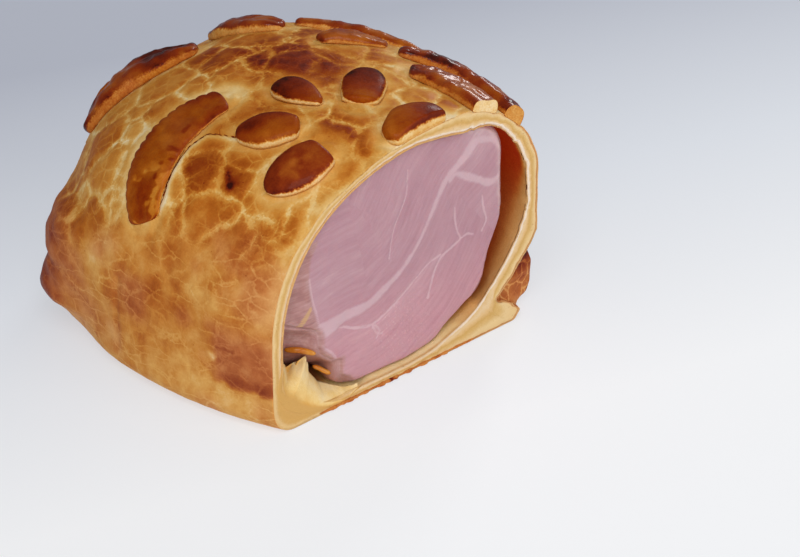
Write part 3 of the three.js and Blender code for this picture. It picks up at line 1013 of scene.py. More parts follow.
# Place, radius, darkening and reddening of each stain. A pale patch has a darkening below zero.
STAINS = [
    ((-102.2, -62, 51.3), 8, 0.15, 0.5), ((-103.9, -39, 59.4), 14, 0.10, 0.1),
    ((-102, -52, 58), 12, 0.05, 0.2), ((-107.5, -18, 45), 14, 0.05, 0.3),
    ((-96, -66, 75), 10, 0.06, 0.3), ((-84, -90, 92), 12, 0.07, 0.4),
    ((-69.7, -60.5, 114.4), 1.7, 0.34, 0.3), ((-71.6, -64.2, 112.1), 2.5, 0.42, 0.3),
    ((-99.5, -66, 67), 7, -0.14, 0.0), ((-99.4, -79.1, 35.6), 2.3, -0.38, 0.0),
    ((-56, 25, 118), 30, -0.12, 0.0), ((-26, -15, 136), 20, -0.08, 0.0),
    ((-71, -42, 115), 26, 0.10, 0.1), ((6, -20, 141), 28, 0.26, 0.0),
    ((-94, 26, 84), 34, -0.12, 0.0), ((-105, -52, 18), 26, -0.03, 0.0),
    ((-20, -70, 134), 26, 0.10, 0.0), ((-18, -88, 132), 12, 0.11, 0.0),
    ((-84, 34, 96), 22, 0.09, 0.0), ((-103, -2, 60), 20, -0.08, 0.0),
    ((-100, -34, 72), 15, -0.06, 0.0), ((-106, -30, 34), 22, 0.05, 0.1),
    ((30, 15, 138), 22, 0.08, 0.0), ((-10, 20, 136), 18, 0.05, 0.0),
]

tone = 0.46 + 0.19 * top - 0.06 * (1 - smooth(height, 8, 36)) + 0.06 * clouds(skin, 34, 51)
tone = tone + top * 0.08 * plate_number
blush = 0.08 + (1 - top) * (0.14 + 0.4 * smooth(clouds(skin, 26, 52), -0.3, 0.7))

# The brown patch low on the near side, darkest along its lower rim.
patch = smooth(height + 2.2 * clouds(skin, 9, 53), 21, 24.5) * (1 - smooth(height, 44, 68))
patch = patch * (1 - smooth(skin[..., 1] + 8 * clouds(skin, 16, 54), -82, -72))
patch = patch * (skin[..., 0] < -40)
tone = tone + 0.16 * patch + 0.14 * patch * (1 - smooth(height, 24, 33))
blush = np.maximum(blush, 0.8 * patch)

stain_place = skin + 1.5 * clouds(skin, 7, 55)[..., None]
for centre, radius, darkening, reddening in STAINS:
    stain = near(stain_place, centre, radius)
    tone = tone + darkening * stain
    blush = np.maximum(blush, reddening * stain)

gathered, seamed = gather_share(skin), seam_share(skin)
far_side = smooth(skin[..., 0], 60, 95) * smooth(height, 10, 30)
behind_notch = smooth(skin[..., 0], 50, 66) * (1 - smooth(height, 46, 54))
behind_notch = behind_notch * (1 - smooth(from_cut, 40, 60))
maroon = near(skin, (92, -106, 34), 9) * behind_notch
tone = tone + 0.32 * gathered + 0.12 * seamed
tone = tone + 0.12 * far_side
tone = tone + 0.34 * maroon + 0.05 * behind_notch
blush = np.maximum(np.maximum(blush, 0.9 * gathered), maroon)
print("browning from", round(tone.min(), 2), "to", round(tone.max(), 2))

# %% [markdown]
# ## Pale bands and the slit
# On the top a pale band runs round each trimming, and another along the cut. Near them the cracks
# are shallower too. A slit with one branch runs beside the flat strip: the side of its line on
# which a point lies tells the slit, painted dark as its shade, from the pale flap next to it.

# %% Pale bands, depth of the cracks and gloss
outside_trims = np.clip(to_trims, 0, None)
beside = np.exp(-((outside_trims / 4.8) ** 2))
tone = tone - top * (0.07 * np.exp(-outside_trims / 15) + 0.27 * beside)
cut_band = np.exp(-((np.clip(from_cut + 2.5 * clouds(skin, 11, 56), 0, None) / 4.5) ** 2))
tone = tone - cut_band * lerp(0.05, 0.24, smooth(height, 70, 105))
depth = (0.15 + 0.85 * top) * np.clip(0.85 + 0.4 * clouds(skin, 38, 15), 0.35, 1.2)
depth = depth * (1 - 0.7 * beside) * (1 - 0.6 * cut_band)
gloss = 0.25 + 0.35 * top + 0.4 * gathered + 0.2 * seamed

groove, groove_share = side_of_line(skin, SLIT)
branch, branch_share = side_of_line(skin, SLIT_BRANCH)
on_branch = (np.abs(branch) < np.abs(groove)) & (branch_share < 2) & (branch_share > 0.1)
# Where the slit runs: the material paints shade along it.
groove_in = smooth(groove_share, -0.3, 0) * (1 - smooth(groove_share, 6, 6.2))
groove_in = np.where(on_branch, 0.8 * (1 - smooth(branch_share, 1.6, 2)), groove_in)
flap_side = np.where(on_branch, 0, groove)
groove = np.where(on_branch, branch, groove)
pale_edge = np.exp(-(((flap_side - 2.0) / 1.5) ** 2)) * 0.55 * groove_in
print("after the pale bands, browning from", round(tone.min(), 2), "to", round(tone.max(), 2))

# %% [markdown]
# ## Relief
# Furrows between plates, the slit, the crease and the folds are real forms, so they move the points
# of the mesh along its normals. Anything finer than a millimetre is left to the material's bump.

# %% Relief of the crust
CREASE = [(-106.6, -15.6, 56), (-107.6, -14.4, 35), (-107, -13, 14)]

to_crease = np.abs(side_of_line(skin, CREASE)[0])
crease = np.exp(-((to_crease / 1.6) ** 2)) * smooth(height, 10, 18)
ridges = np.sin(height / 2.6 + 2.5 * clouds(skin, 16, 61)) * gathered
folds = np.sin(height / 3.4 + 3 * clouds(skin, 24, 62)) * seamed
dent = np.exp(-((outside_trims / 1.5) ** 2)) * (to_trims > -3)
relief = 0.45 * clouds(skin, 17, 63) * smooth(height, 3, 12) + 0.12 * clouds(skin, 5, 64)
relief = relief - 1.1 * behind_notch * np.abs(clouds(skin, 9, 65))
relief = relief + top * (0.5 * smooth(coarse, 0.3, 5) - 0.25) * (1 - beside)
relief = relief - 1.0 * groove_in * np.exp(-((groove / 0.9) ** 2)) + 0.5 * pale_edge
relief = relief - 0.9 * crease + 0.7 * ridges + 0.5 * folds - 0.6 * dent
base_fade = smooth(height, 0, 2.5)
skin_shape = skin + grid_normals(skin) * (relief * base_fade)[..., None]
skin_shape[..., 1] = np.maximum(skin_shape[..., 1], CUT_Y)
skin_shape[-1, :, 1] = CUT_Y
skin_shape[..., 2] = np.maximum(skin_shape[..., 2], 0)
print("relief in mm:", round(relief.min(), 2), "to", round(relief.max(), 2))

# %% [markdown]
# ## The wall of the hollow
# Its rings run from the cut to the back, and the first of them is the inner lip. The lip is torn at
# the far side, and pushed back where a flake of torn dough will start. A uniform wall would show
# through that flake, so the wall also makes room behind it.

# %% Wall of the hollow
degrees = np.degrees(around)
outwards = np.stack([np.cos(around), 0 * around, np.sin(around)], -1)
hollow_shares = 1 - (1 - np.arange(1, HOLLOW_RINGS + 1) / HOLLOW_RINGS) ** 2.1
hollow = hollow_grid(around, hollow_shares)[::-1]
hollow_bumps = 0.4 * clouds(hollow, 9, 73) * smooth(hollow[..., 1] - CUT_Y, 0, 4)
hollow = hollow - grid_normals(hollow) * np.abs(hollow_bumps)[..., None]
in_hollow = hollow[..., 1] - CUT_Y

# The wall makes room for the flake, and the lip is torn, most at the far side.
under_flake = smooth(degrees, 196, 203) * (1 - smooth(degrees, 240, 246))
under_flake = under_flake * smooth(in_hollow, 1, 7)
under_flake = under_flake * (1 - smooth(in_hollow, 40, 70)) * (2.6 + 3 * smooth(in_hollow, 12, 24))
far_lip = smooth(turn(degrees, 0), -14, -4) * (1 - smooth(turn(degrees, 0), 52, 66))
torn = soft_noise(hollow, 3.2, 75) + 0.6 * soft_noise(hollow, 1.5, 76)
torn = torn * np.exp(-(in_hollow / 1.6))
hollow = hollow + outwards * (torn * (0.15 + 0.75 * far_lip) + under_flake)[..., None]
start_of_flake = smooth(degrees, 195, 202) * (1 - smooth(degrees, 234, 242))
hollow[..., 1] = np.maximum(hollow[..., 1], CUT_Y + 1.2 * start_of_flake)
print("hollow grid:", hollow.shape, "deepest mm:", in_hollow.max().round(1))

# %% [markdown]
# ## The cut through the crust
# A flat cap would look like cardboard. Between the skin's last ring and the lip, each line of the
# face is a curve (1-t)² a + 2t(1-t) b + t² c instead, whose middle point b bends it round the
# tongue of the foot, and its depth is a few tenths of a millimetre of bumps.

# %% Cut face
outer_edge, lip = skin_shape[-1], hollow[0]
across = (np.arange(FACE_RINGS) + 1) / (FACE_RINGS + 1)
across = (across - 0.1 * np.sin(2 * np.pi * across))[:, None, None]
tongue = smooth(degrees, 321, 326) * (1 - smooth(degrees, 334, 336))
climb = np.clip((degrees - 326) / 8, 0, 1)
inside_bend = np.stack([lerp(54, 61.5, climb), 0 * climb + CUT_Y, lerp(5, 18, climb)], -1)
bend = lerp((outer_edge + lip) / 2, inside_bend, tongue[:, None])
face = (1 - across) ** 2 * outer_edge + 2 * across * (1 - across) * bend + across ** 2 * lip
across = across[..., 0]
breadth = np.linalg.norm(lip - outer_edge, axis=-1)
from_edge, from_lip = across * breadth, (1 - across) * breadth

# The knife left soft bumps, and both edges of the cut are a little rounded.
face[..., 1] += 0.35 + 0.25 * clouds(face, 5, 71) + 0.15 * clouds(face, 1.8, 72)
rounded_edge, rounded_lip = np.exp(-((from_edge / 0.8) ** 2)), np.exp(-((from_lip / 0.9) ** 2))
face[..., 1] += 0.45 * rounded_edge + 0.9 * rounded_lip
face[..., 1] = np.maximum(face[..., 1], CUT_Y)
under_start = start_of_flake * smooth(from_lip, 8.5, 6.5)
behind_start = CUT_Y + lerp(0.6, 1.1, smooth(from_lip, 3.5, 1))
face[..., 1] = lerp(face[..., 1], behind_start, under_start)
print("rim breadth in mm:", round(breadth.min(), 1), "to", round(breadth.max(), 1))

# %% [markdown]
# ## Browning of the crumb
# The near wall of the hollow is cream that darkens inwards: painted shade. The far wall baked in
# the ham's juice, and it darkens deeper in and higher up, also painted shade, with a painted orange
# glow high up. On the cut a white line follows the lip and a brown one the skin, but neither
# reaches the near corner, which is shaded tan instead.

# %% Browning of the crumb
PALE = 0.2
NO_EDGE, NO_CRACK = 30, 9

behind = np.clip(hollow[..., 1] - CUT_Y, 0, None)
far_wall = smooth(hollow[..., 0], 20, 52)
high = smooth(hollow[..., 2], 54, 95)
# Painted shade: the far wall darkens deeper into the hollow, sooner high up.
deep_shade = smooth(behind, 0.2 * (1 + 14 * (1 - high)), lerp(20, 5, high))
near_corner = near(hollow, (-66, -108, 12), 26)
recess = near(hollow, (-60, -86, 18), 22) * smooth(behind, 10, 18)
recess = smooth(recess, 0.1, 0.5)
# Painted shade: the near wall darkens deeper into the hollow.
near_tone = lerp(0.06, 0.42, smooth(behind, 14, 60)) + 0.24 * near_corner
crumb_tone = lerp(0.28, lerp(0.62, 0.80, high), deep_shade) * far_wall + near_tone * (1 - far_wall)
crumb_tone = np.maximum(crumb_tone, 0.64 * recess)
crumb_blush = np.maximum(far_wall * lerp(0.45, 0.15, high), 0.8 * recess)
# Painted glow: emission on the far wall, strongest deep in and high up.
glow = deep_shade * lerp(0.3, 1, high) * far_wall

face_shade = 0.9 * np.exp(-((turn(degrees, 216) / 17) ** 4))
face_shade = face_shade + 0.15 * np.exp(-((turn(degrees, 262) / 40) ** 2))
face_shade = lerp(0.3 * face_shade, face_shade, smooth(from_edge, 1.5, 4.5))
plain_corner = 1 - np.exp(-((turn(degrees, 218) / 22) ** 4))
skin_line = lerp(0.12, 0.75, smooth(np.cos(around - np.radians(350)), 0.45, 0.9))
skin_line = np.maximum(skin_line, np.exp(-((turn(degrees, 272) / 62) ** 6))) * plain_corner
white_line = 0.25 + 0.75 * smooth(np.cos(around - np.radians(20)), -0.3, 0.5)
white_line = white_line * plain_corner
print("browning of the hollow from", crumb_tone.min().round(2), "to", crumb_tone.max().round(2))

# %% [markdown]
# ## The crust as one piece
# Skin, cut face and hollow are stacked as rows of one grid, and so are their fields. The skin gets
# the baked material, and the other two share the crumb, so that no line shows at the lip.

# %% Make the crust
def on_crust(on_skin, on_face=0, in_hollow=0):
    """One value each for the skin, the cut face and the hollow, as rows of one grid."""
    return np.concatenate([0 * height + on_skin, 0 * from_edge + on_face, 0 * behind + in_hollow])


crust_fields = {
    "bake": vectors(
        on_crust(tone, PALE, crumb_tone), on_crust(blush, 0, crumb_blush), on_crust(gloss, 0, glow),
    ),
    "cracks": vectors(on_crust(coarse, NO_CRACK, NO_CRACK), on_crust(top), on_crust(depth)),
    "marks": vectors(
        on_crust(groove, NO_CRACK, NO_CRACK), on_crust(behind_notch), on_crust(pale_edge),
    ),
    "spans": vectors(on_crust(groove_in), 0, 0),
    "rim": vectors(
        on_crust(0, from_edge, NO_EDGE), on_crust(NO_EDGE, from_lip), on_crust(0, 0, behind),
    ),
    "edge": vectors(on_crust(0, skin_line), on_crust(0, white_line), on_crust(0, face_shade)),
}
outer_pole = outer_grid(np.zeros(1), np.zeros(1))[0, 0]
inner_pole = hollow_grid(np.zeros(1), np.zeros(1))[0, 0]
ring_material = np.ones(OUTER_RINGS - 1 + FACE_RINGS + HOLLOW_RINGS, np.int32)
ring_material[:OUTER_RINGS - 1] = 0
add_piece(
    "crust_loaf", np.concatenate([skin_shape, face, hollow]), [baked_crust, pale_crumb],
    "crust", crust_fields, (outer_pole, inner_pole), ring_material,
)

# %% [markdown]
# ## The torn dough at the near foot
# The dough rises from the near corner towards the ham and ends in a torn edge, with a peak at the
# left. It is a piece of its own, because the edge is too sharp for the rings of the crust. Each
# section goes from the lip up to the edge, down behind it, and back underneath.

# %% Torn flake of dough
TORN_EDGE = np.array([
    (-75.4, -100, 33.6), (-71.4, -99.2, 28.4), (-67.6, -97.4, 23.6), (-65.2, -98.4, 25.8),
    (-62.4, -101.2, 27.6), (-59.4, -102.6, 29.6), (-57.6, -101.4, 25.2), (-56.6, -100.4, 20.6),
    (-54.6, -99.4, 16.6), (-50.2, -99.8, 10.6), (-44.6, -103, 7.3), (-38.7, -107.6, 5.7),
    (-33.5, -110.4, 6.2),
])
LIP_ANGLES = (197, 200, 203, 205.5, 208, 210.5, 212.5, 214.5, 217, 221, 228, 234, 239)
FLAKE_SECTIONS, FLAKE_OVER, FLAKE_UNDER = 150, 34, 12
FLAKE_THICK = 4.5


def along_chain(points, u):
    """Straight pieces through points, at places u that count the points from 0."""
    number = np.arange(len(points))
    return np.stack([np.interp(u, number, points[:, axis]) for axis in range(points.shape[1])], -1)


def noise_vectors(p, size, seed):
    """Soft noise for each of the three axes."""
    return np.stack([soft_noise(p, size, seed + axis) for axis in range(3)], -1)


# The two edges: the torn one in the open, and the one that starts on the lip.
u = np.linspace(0, len(TORN_EDGE) - 1, FLAKE_SECTIONS)
torn_edge = along_chain(TORN_EDGE, u)
edge_noise = 0.6 * noise_vectors(torn_edge, 2.4, 131)
flake_degrees = np.interp(u, np.arange(len(LIP_ANGLES)), LIP_ANGLES)
flake_angle = np.radians(flake_degrees)
flake_away = np.stack([np.cos(flake_angle), 0 * flake_angle, np.sin(flake_angle)], -1)
on_face = smooth(flake_degrees, 197, 204) * (1 - smooth(flake_degrees, 231, 239))
lip_start = vectors(HEART[0], CUT_Y + lerp(0.8, 0.5, on_face), HEART[2])
flake_radius = hollow_radius(flake_angle) + lerp(0.3, FLAKE_THICK, on_face)
flake_lip = lip_start + flake_away * flake_radius[:, None]

# Over: from the lip to the torn edge. It stays in the face at first and then bends back.
v = np.linspace(0, 1, FLAKE_OVER)
bends_late = 2.2 + 2.6 * smooth(flake_degrees, 209, 221)
eased = vectors(v, v ** bends_late[:, None], v)
over = flake_lip[:, None] + (torn_edge - flake_lip)[:, None] * eased
over = over + edge_noise[:, None] * v[:, None] ** 5
sag = (1.6 + 0.35 * clouds(over, 6, 134)) * np.sin(np.pi * v)
over = over + flake_away[:, None] * sag[..., None]

# Under: back from the torn edge to the lip, a few millimetres behind.
w = np.linspace(0, 1, FLAKE_UNDER)
under_edge = torn_edge + edge_noise + flake_away * FLAKE_THICK + (0, 1.5, 0)
under_lip = flake_lip + flake_away * 0.5 + (0, 1.8, 0)
under = under_edge[:, None] + (under_lip - under_edge)[:, None] * w[:, None]
under[..., 1] = np.maximum(under[..., 1], CUT_Y + 0.9)
flake = np.concatenate([over, under], axis=1)
flake[..., 2] = np.maximum(flake[..., 2], 0.4)

pale_near_edge = smooth(np.concatenate([v, 0 * w]), 0.1, 0.7)
past_lip = 3 * smooth(np.concatenate([v, 1 + 0 * w]), 0.12, 0.6)
flake_tone = 0.32 - 0.24 * pale_near_edge + 0.03 * near(flake, (-70, -110, 10), 24)
flake_tone = flake_tone + 0.05 * clouds(flake, 8, 135)
flake_tone[:, FLAKE_OVER:] = lerp(0.3, 0.2, smooth(w, 0.4, 0.9))
plain = 0 * flake_tone
add_piece("torn_dough", flake, [pale_crumb], None, {
    "bake": vectors(flake_tone, 0, 0),
    "rim": vectors(NO_EDGE, NO_EDGE, plain + past_lip),
    "edge": vectors(plain, 0, 0.9),
})

# %% [markdown]
# ## The ham
# The ham fills the hollow, but it shrank from the crust along the far side and at the near foot.
# Its rings follow the hollow with that gap. In the cut face the muscles are parted by curved lines
# of pale fat, so the face carries the distance to each line, and the meat's grain follows them.

# %% Form of the ham
# Angle, spread, width and depth of each gap between the ham and the crust.
GAPS = [(4, 28, 15.5, 95), (318, 22, 4.5, 50), (206, 18, 28.5, 34), (227, 8, 8, 10)]
HAM_COLUMNS, HAM_BODY_RINGS, HAM_FACE_RINGS = 380, 55, 100
WALL_RINGS = 400


def ham_gap(around, p):
    """Space between crust and ham: a bump over the angle for each gap, fading to the back."""
    degrees = np.degrees(around)
    back = p[..., 1] - CUT_Y
    return SNUG_GAP + sum(
        width * np.exp(-((turn(degrees, angle) / spread) ** 4)) * (1 - smooth(back, 0.1 * to, to))
        for angle, spread, width, to in GAPS
    )


def shrunk(around, p):
    """p moved by the gap towards the heart, and near the cut towards the heart's line."""
    inward = HEART - p
    inward[..., 1] = inward[..., 1] * smooth(p[..., 1] - CUT_Y, 20, 140)
    return p + unit(inward) * ham_gap(around, p)[..., None]


ham_around = np.arange(HAM_COLUMNS) / HAM_COLUMNS * 2 * np.pi
ham_shares = 1 - (1 - np.arange(1, WALL_RINGS + 1) / WALL_RINGS) ** 1.9
ham_wall = shrunk(ham_around, hollow_grid(ham_around, ham_shares))
print("ham wall grid:", ham_wall.shape)

# %% [markdown]
# ## Rings of the ham
# The slice went through crust and ham at once, but the ham drew back a little as it cooled, so its
# face lies behind the crust's. Rows of the wall are looked up where they meet that plane, and the
# rings of the face shrink from there to its middle.

# %% Rings of the ham
FACE_Y = CUT_Y + HAM_RECESS


def between_rows(values, walked, wanted):
    """Values at wanted places of each column, on straight lines between the rows. Walked holds
    the places of the rows, which rise from row to row."""
    row = np.clip((walked[None] <= wanted[:, None]).sum(1) - 1, 0, len(walked) - 2)
    column = np.arange(walked.shape[1])
    here, after = walked[row, column], walked[row + 1, column]
    t = ((wanted - here) / (after - here))[..., None]
    return lerp(values[row, column], values[row + 1, column], t)


shares_grid = np.broadcast_to(ham_shares[:, None], ham_wall.shape[:2])
wall_and_share = np.concatenate([ham_wall, shares_grid[..., None]], -1)
at_face = np.full((1, HAM_COLUMNS), -FACE_Y)
at_face = between_rows(wall_and_share, -ham_wall[..., 1], at_face)[0]
ham_edge, start_share = at_face[:, :3], at_face[:, 3]
body_rows = np.arange(1, HAM_BODY_RINGS + 1)[:, None] / (HAM_BODY_RINGS + 1)
ham_body = between_rows(ham_wall, shares_grid, start_share * (1 - body_rows ** 1.3))
ham_middle = np.array([HEART[0] - 8, FACE_Y, HEART[2]])
face_share = ((np.arange(HAM_FACE_RINGS) + 1) / (HAM_FACE_RINGS + 1)) ** 0.8
ham_face = ham_middle + (ham_edge - ham_middle) * face_share[:, None, None]
print("ham face mm:", np.round(np.ptp(ham_edge, axis=0), 1))

# %% [markdown]
# ## Lines of fat
# The broad line of fat runs in from the top and turns to the near side, with a round band at its
# start. The thin ones part smaller muscles. Each is a smooth curve through a few points. The field
# is the distance to the nearest of its straight pieces, less half the line's width there.

# %% Lines of fat in the cut face
LIST_ORIGIN = 22.3
BROAD_LINE = [
    (26, 112), (17, 105), (5, 97), (-3, 85), (-12, 71), (-23, 60), (-35, 53), (-46, 48), (-62, 47),
    (-78, 44),
]
BROAD_WIDTHS = [5, 4.5, 3.5, 2.4, 1.6, 2.2, 3.4, 4.2, 6, 9]
ROUND_BAND = [
    (9, 97), (13, 99), (19, 96), (28, 91), (38, 86), (44, 88), (47, 96), (45, 104), (38, 110),
    (27, 112), (18, 107),
]
BAND_WIDTHS = [3, 3, 3.5, 4, 4, 3, 3, 3, 3.5, 3, 2.5]
THIN_LINES = [
    ([(13, 80), (13, 74), (15, 66), (17, 61), (10, 58), (3, 55), (-3, 45), (-6, 36)], 1.0),
    ([(17, 61), (22, 62), (27, 60)], 0.8),
    ([(33, 80), (34, 72), (36, 66), (33, 60)], 0.9),
    ([(-17, 48), (-30, 40), (-44, 35), (-54, 37), (-63, 41)], 1.1),
    ([(-44, 35), (-41, 29), (-37, 27)], 0.9),
    ([(3, 57), (-6, 55), (-14, 50), (-17, 48)], 0.7),
    ([(-66, 42), (-53, 37), (-44, 35), (-39, 30), (-41, 26)], 0.8),
    ([(-85, 76), (-83, 64), (-79, 49), (-79, 40), (-76, 34), (-70, 28), (-65, 17)], 1.3),
    ([(-20, 112), (-21, 98), (-29, 84), (-33, 68)], 0.4),
]


def smooth_curve(points, count):
    """Smooth curve through points of the cut plane, whose ends are carried on by one point."""
    points = np.array(points, float) + (LIST_ORIGIN, 0)
    padded = np.concatenate([2 * points[:1] - points[1:2], points, 2 * points[-1:] - points[-2:-1]])
    return through(padded, 1 + np.linspace(0, len(points) - 1 - 1e-6, count))


def line_field(flat, points, widths, count=90):
    """Distance to a curve less its half width there, the signed distance, and the way along it.

    Of each straight piece from a to b, the nearest place is a + t (b - a), where
    t = (p - a)·(b - a) / |b - a|², clipped to 0..1.
    """
    curve = smooth_curve(points, count)
    half = np.interp(np.linspace(0, 1, count), np.linspace(0, 1, len(widths)), widths) / 2
    walked = np.concatenate([[0], np.cumsum(np.linalg.norm(np.diff(curve, axis=0), axis=-1))])
    best = np.full(flat.shape[:-1], FAR_AWAY)
    signed, along = np.zeros_like(best), np.zeros_like(best)
    for k in range(count - 1):
        way = curve[k + 1] - curve[k]
        length = np.linalg.norm(way)
        offset = flat - curve[k]
        ahead = offset @ way / length
        t = np.clip(ahead / length, 0, 1)
        distance = np.linalg.norm(offset - t[..., None] * way, axis=-1)
        distance = distance - lerp(half[k], half[k + 1], t)
        closer = distance < best
        aside = (offset[..., 0] * way[1] - offset[..., 1] * way[0]) / length
        best = np.where(closer, distance, best)
        signed = np.where(closer, aside, signed)
        along = np.where(closer, walked[k] + ahead, along)
    return best, signed, along


flat = ham_face[..., [0, 2]]
main_fat, across_grain, along_grain = line_field(flat, BROAD_LINE, BROAD_WIDTHS)
round_band = line_field(flat, ROUND_BAND, BAND_WIDTHS)[0]
thin_lines = [line_field(flat, points, [width] * 2, 40)[0] for points, width in THIN_LINES]
thin_lines = np.min(thin_lines, axis=0)
print("middle of the broadest fat, mm from its border:", round(main_fat.min(), 1))

# %% [markdown]
# ## What lies where on the ham
# The near flank of the face is the ham's outer fat, which leans back. Beside it a yellow line of
# baked juice runs down. A grainy muscle lies low at the near side. The face is nearly flat: it has
# soft bumps, is rounded at its rim, and the fat stands a little proud of the lean.

# %% Fields and relief of the ham's face
# Height and place across of the line at which the ham's near flank starts.
FLANK_HEIGHTS = [10, 17, 28, 34, 40, 49, 64, 76, 86, 94, 101]
FLANK_PLACES = [-58, -65, -70, -76, -79, -79, -83, -85, -83, -78, -120]
YELLOW_LINE = [(-84, 59.2), (-86.7, 53.6), (-90, 48.9), (-92, 45.8)]
GRAINY_PLACE, GRAINY_RADIUS = (-24, 0, 24), 20
PALE_PLACE, PALE_RADIUS = (30, 0, 114), 11

x_cut, z_cut = flat[..., 0] - LIST_ORIGIN, flat[..., 1]
on_list = vectors(x_cut, 0, z_cut)
to_rim = (1 - face_share[:, None]) * np.linalg.norm(ham_edge - ham_middle, axis=-1)
past_flank_line = np.interp(z_cut, FLANK_HEIGHTS, FLANK_PLACES) - x_cut
flank = smooth(past_flank_line, -0.8, 1.6)
fringe = 1 - smooth(to_rim + 1.5 * clouds(ham_face, 8, 87), 1.5, 4.5)
fringe = fringe * smooth(-x_cut, 40, 60)
rim_of_fat = 1 - 0.68 * smooth(x_cut, 2, 30) * smooth(z_cut, 52, 84)
yellow_line = line_field(flat, YELLOW_LINE, [1.6, 2.4, 1.8, 0.8], 20)[0]
grainy = near(on_list, GRAINY_PLACE, GRAINY_RADIUS)
grainy = grainy * smooth(main_fat, 2, 8) * smooth(to_rim, 2, 6)
paleness = 0.25 * clouds(vectors(across_grain, 0, along_grain / 5), 9, 81)
paleness = paleness + 0.4 * near(on_list, PALE_PLACE, PALE_RADIUS)

sunk = 0.5 * clouds(ham_face, 26, 82) + 0.25 * clouds(ham_face, 7, 83)
sunk = sunk + 2.2 * (1 - smooth(to_rim, 0, 3.2)) ** 2
sunk = sunk + 5.0 * flank * smooth(past_flank_line, 0, 18)
sunk = sunk + 0.25 * np.exp(-((thin_lines / 0.8) ** 2))
sunk = sunk - 0.3 * np.exp(-((np.clip(main_fat, 0, None) / 1.5) ** 2))
sunk = sunk + grainy * 0.5 * np.abs(soft_noise(ham_face, 2.2, 84))
from_middle = smooth(face_share, 0, 0.05)[:, None]
ham_face[..., 1] = FACE_Y + np.clip(sunk + 0.6, 0, None) * from_middle
print("depth of the face relief:", round(sunk.max(), 2), "mm")

# %% [markdown]
# ## The fields of the whole ham
# Behind the face the rings of the body get soft bumps, and none may stand in front of the face. The
# fibre field holds the way along and across the broad line of fat, because the muscle's grain runs
# as that line does. The juice field tells where the low near side is stewed brown, and on the face
# how far down the meat is painted lighter and warmer: painted light.

# %% Fields of the whole ham
FIBRE_STRETCH = 9
NO_FAT = 6

body_bumps = 0.5 * clouds(ham_body, 14, 85) + 0.25 * clouds(ham_body, 4, 86)
ham_body = ham_body - grid_normals(ham_body) * np.abs(body_bumps)[..., None]
behind_face = ham_face[-1, :, 1] + 0.05 * np.arange(1, HAM_BODY_RINGS + 1)[:, None]
ham_body[..., 1] = np.maximum(ham_body[..., 1], behind_face)
body_x, body_y, body_z = np.moveaxis(ham_body, -1, 0)
body_back = body_y - FACE_Y
low_left = smooth(-20 - body_x, 0, 20) * (1 - smooth(body_z, 24, 46))


def on_ham(on_face, on_body=0):
    """One value each for the cut face and the body behind it, as rows of one grid."""
    return np.concatenate([0 * to_rim + on_face, 0 * body_back + on_body])


ham_fields = {
    "marbling": vectors(
        on_ham(np.minimum(main_fat, round_band), NO_FAT), on_ham(thin_lines, NO_FAT),
        on_ham(paleness, 0.1),
    ),
    "meat": vectors(
        on_ham(np.maximum(flank, 0.75 * fringe), 1), on_ham(grainy), on_ham(to_rim * rim_of_fat, 4),
    ),
    "fibre": vectors(
        on_ham(across_grain, body_z), on_ham(along_grain / FIBRE_STRETCH, body_y / FIBRE_STRETCH),
        on_ham(0, body_x),
    ),
    # On the face, the juice field's second number is where the lower face is painted lighter, as
    # light.
    "juice": vectors(
        on_ham(0, body_back), on_ham(smooth(z_cut, 70, 20), low_left), on_ham(yellow_line, NO_FAT),
    ),
}
print("rings of the ham:", len(ham_face), "in the face,", len(ham_body), "behind it")

# %% [markdown]
# ## Finish of the ham
# Cooked meat is a cool pink. Fat lines are nearly white pink, the grain gives fine streaks along
# the muscle, and the fat side of the ham, seen at the near edge, is duller and tanned.

# %% Material: ham
COOL_STOPS = [
    (0.0, (166, 116, 128)), (0.35, (177, 130, 140)), (0.65, (185, 142, 150)),
    (1.0, (202, 166, 172)),
]
WARM_STOPS = [
    (0.0, (178, 118, 130)), (0.35, (192, 138, 146)), (0.65, (200, 148, 155)),
    (1.0, (216, 176, 178)),
]
TANNED_STOPS = [
    (0.0, (128, 78, 74)), (0.4, (166, 116, 112)), (0.7, (186, 142, 138)), (1.0, (206, 170, 150)),
]


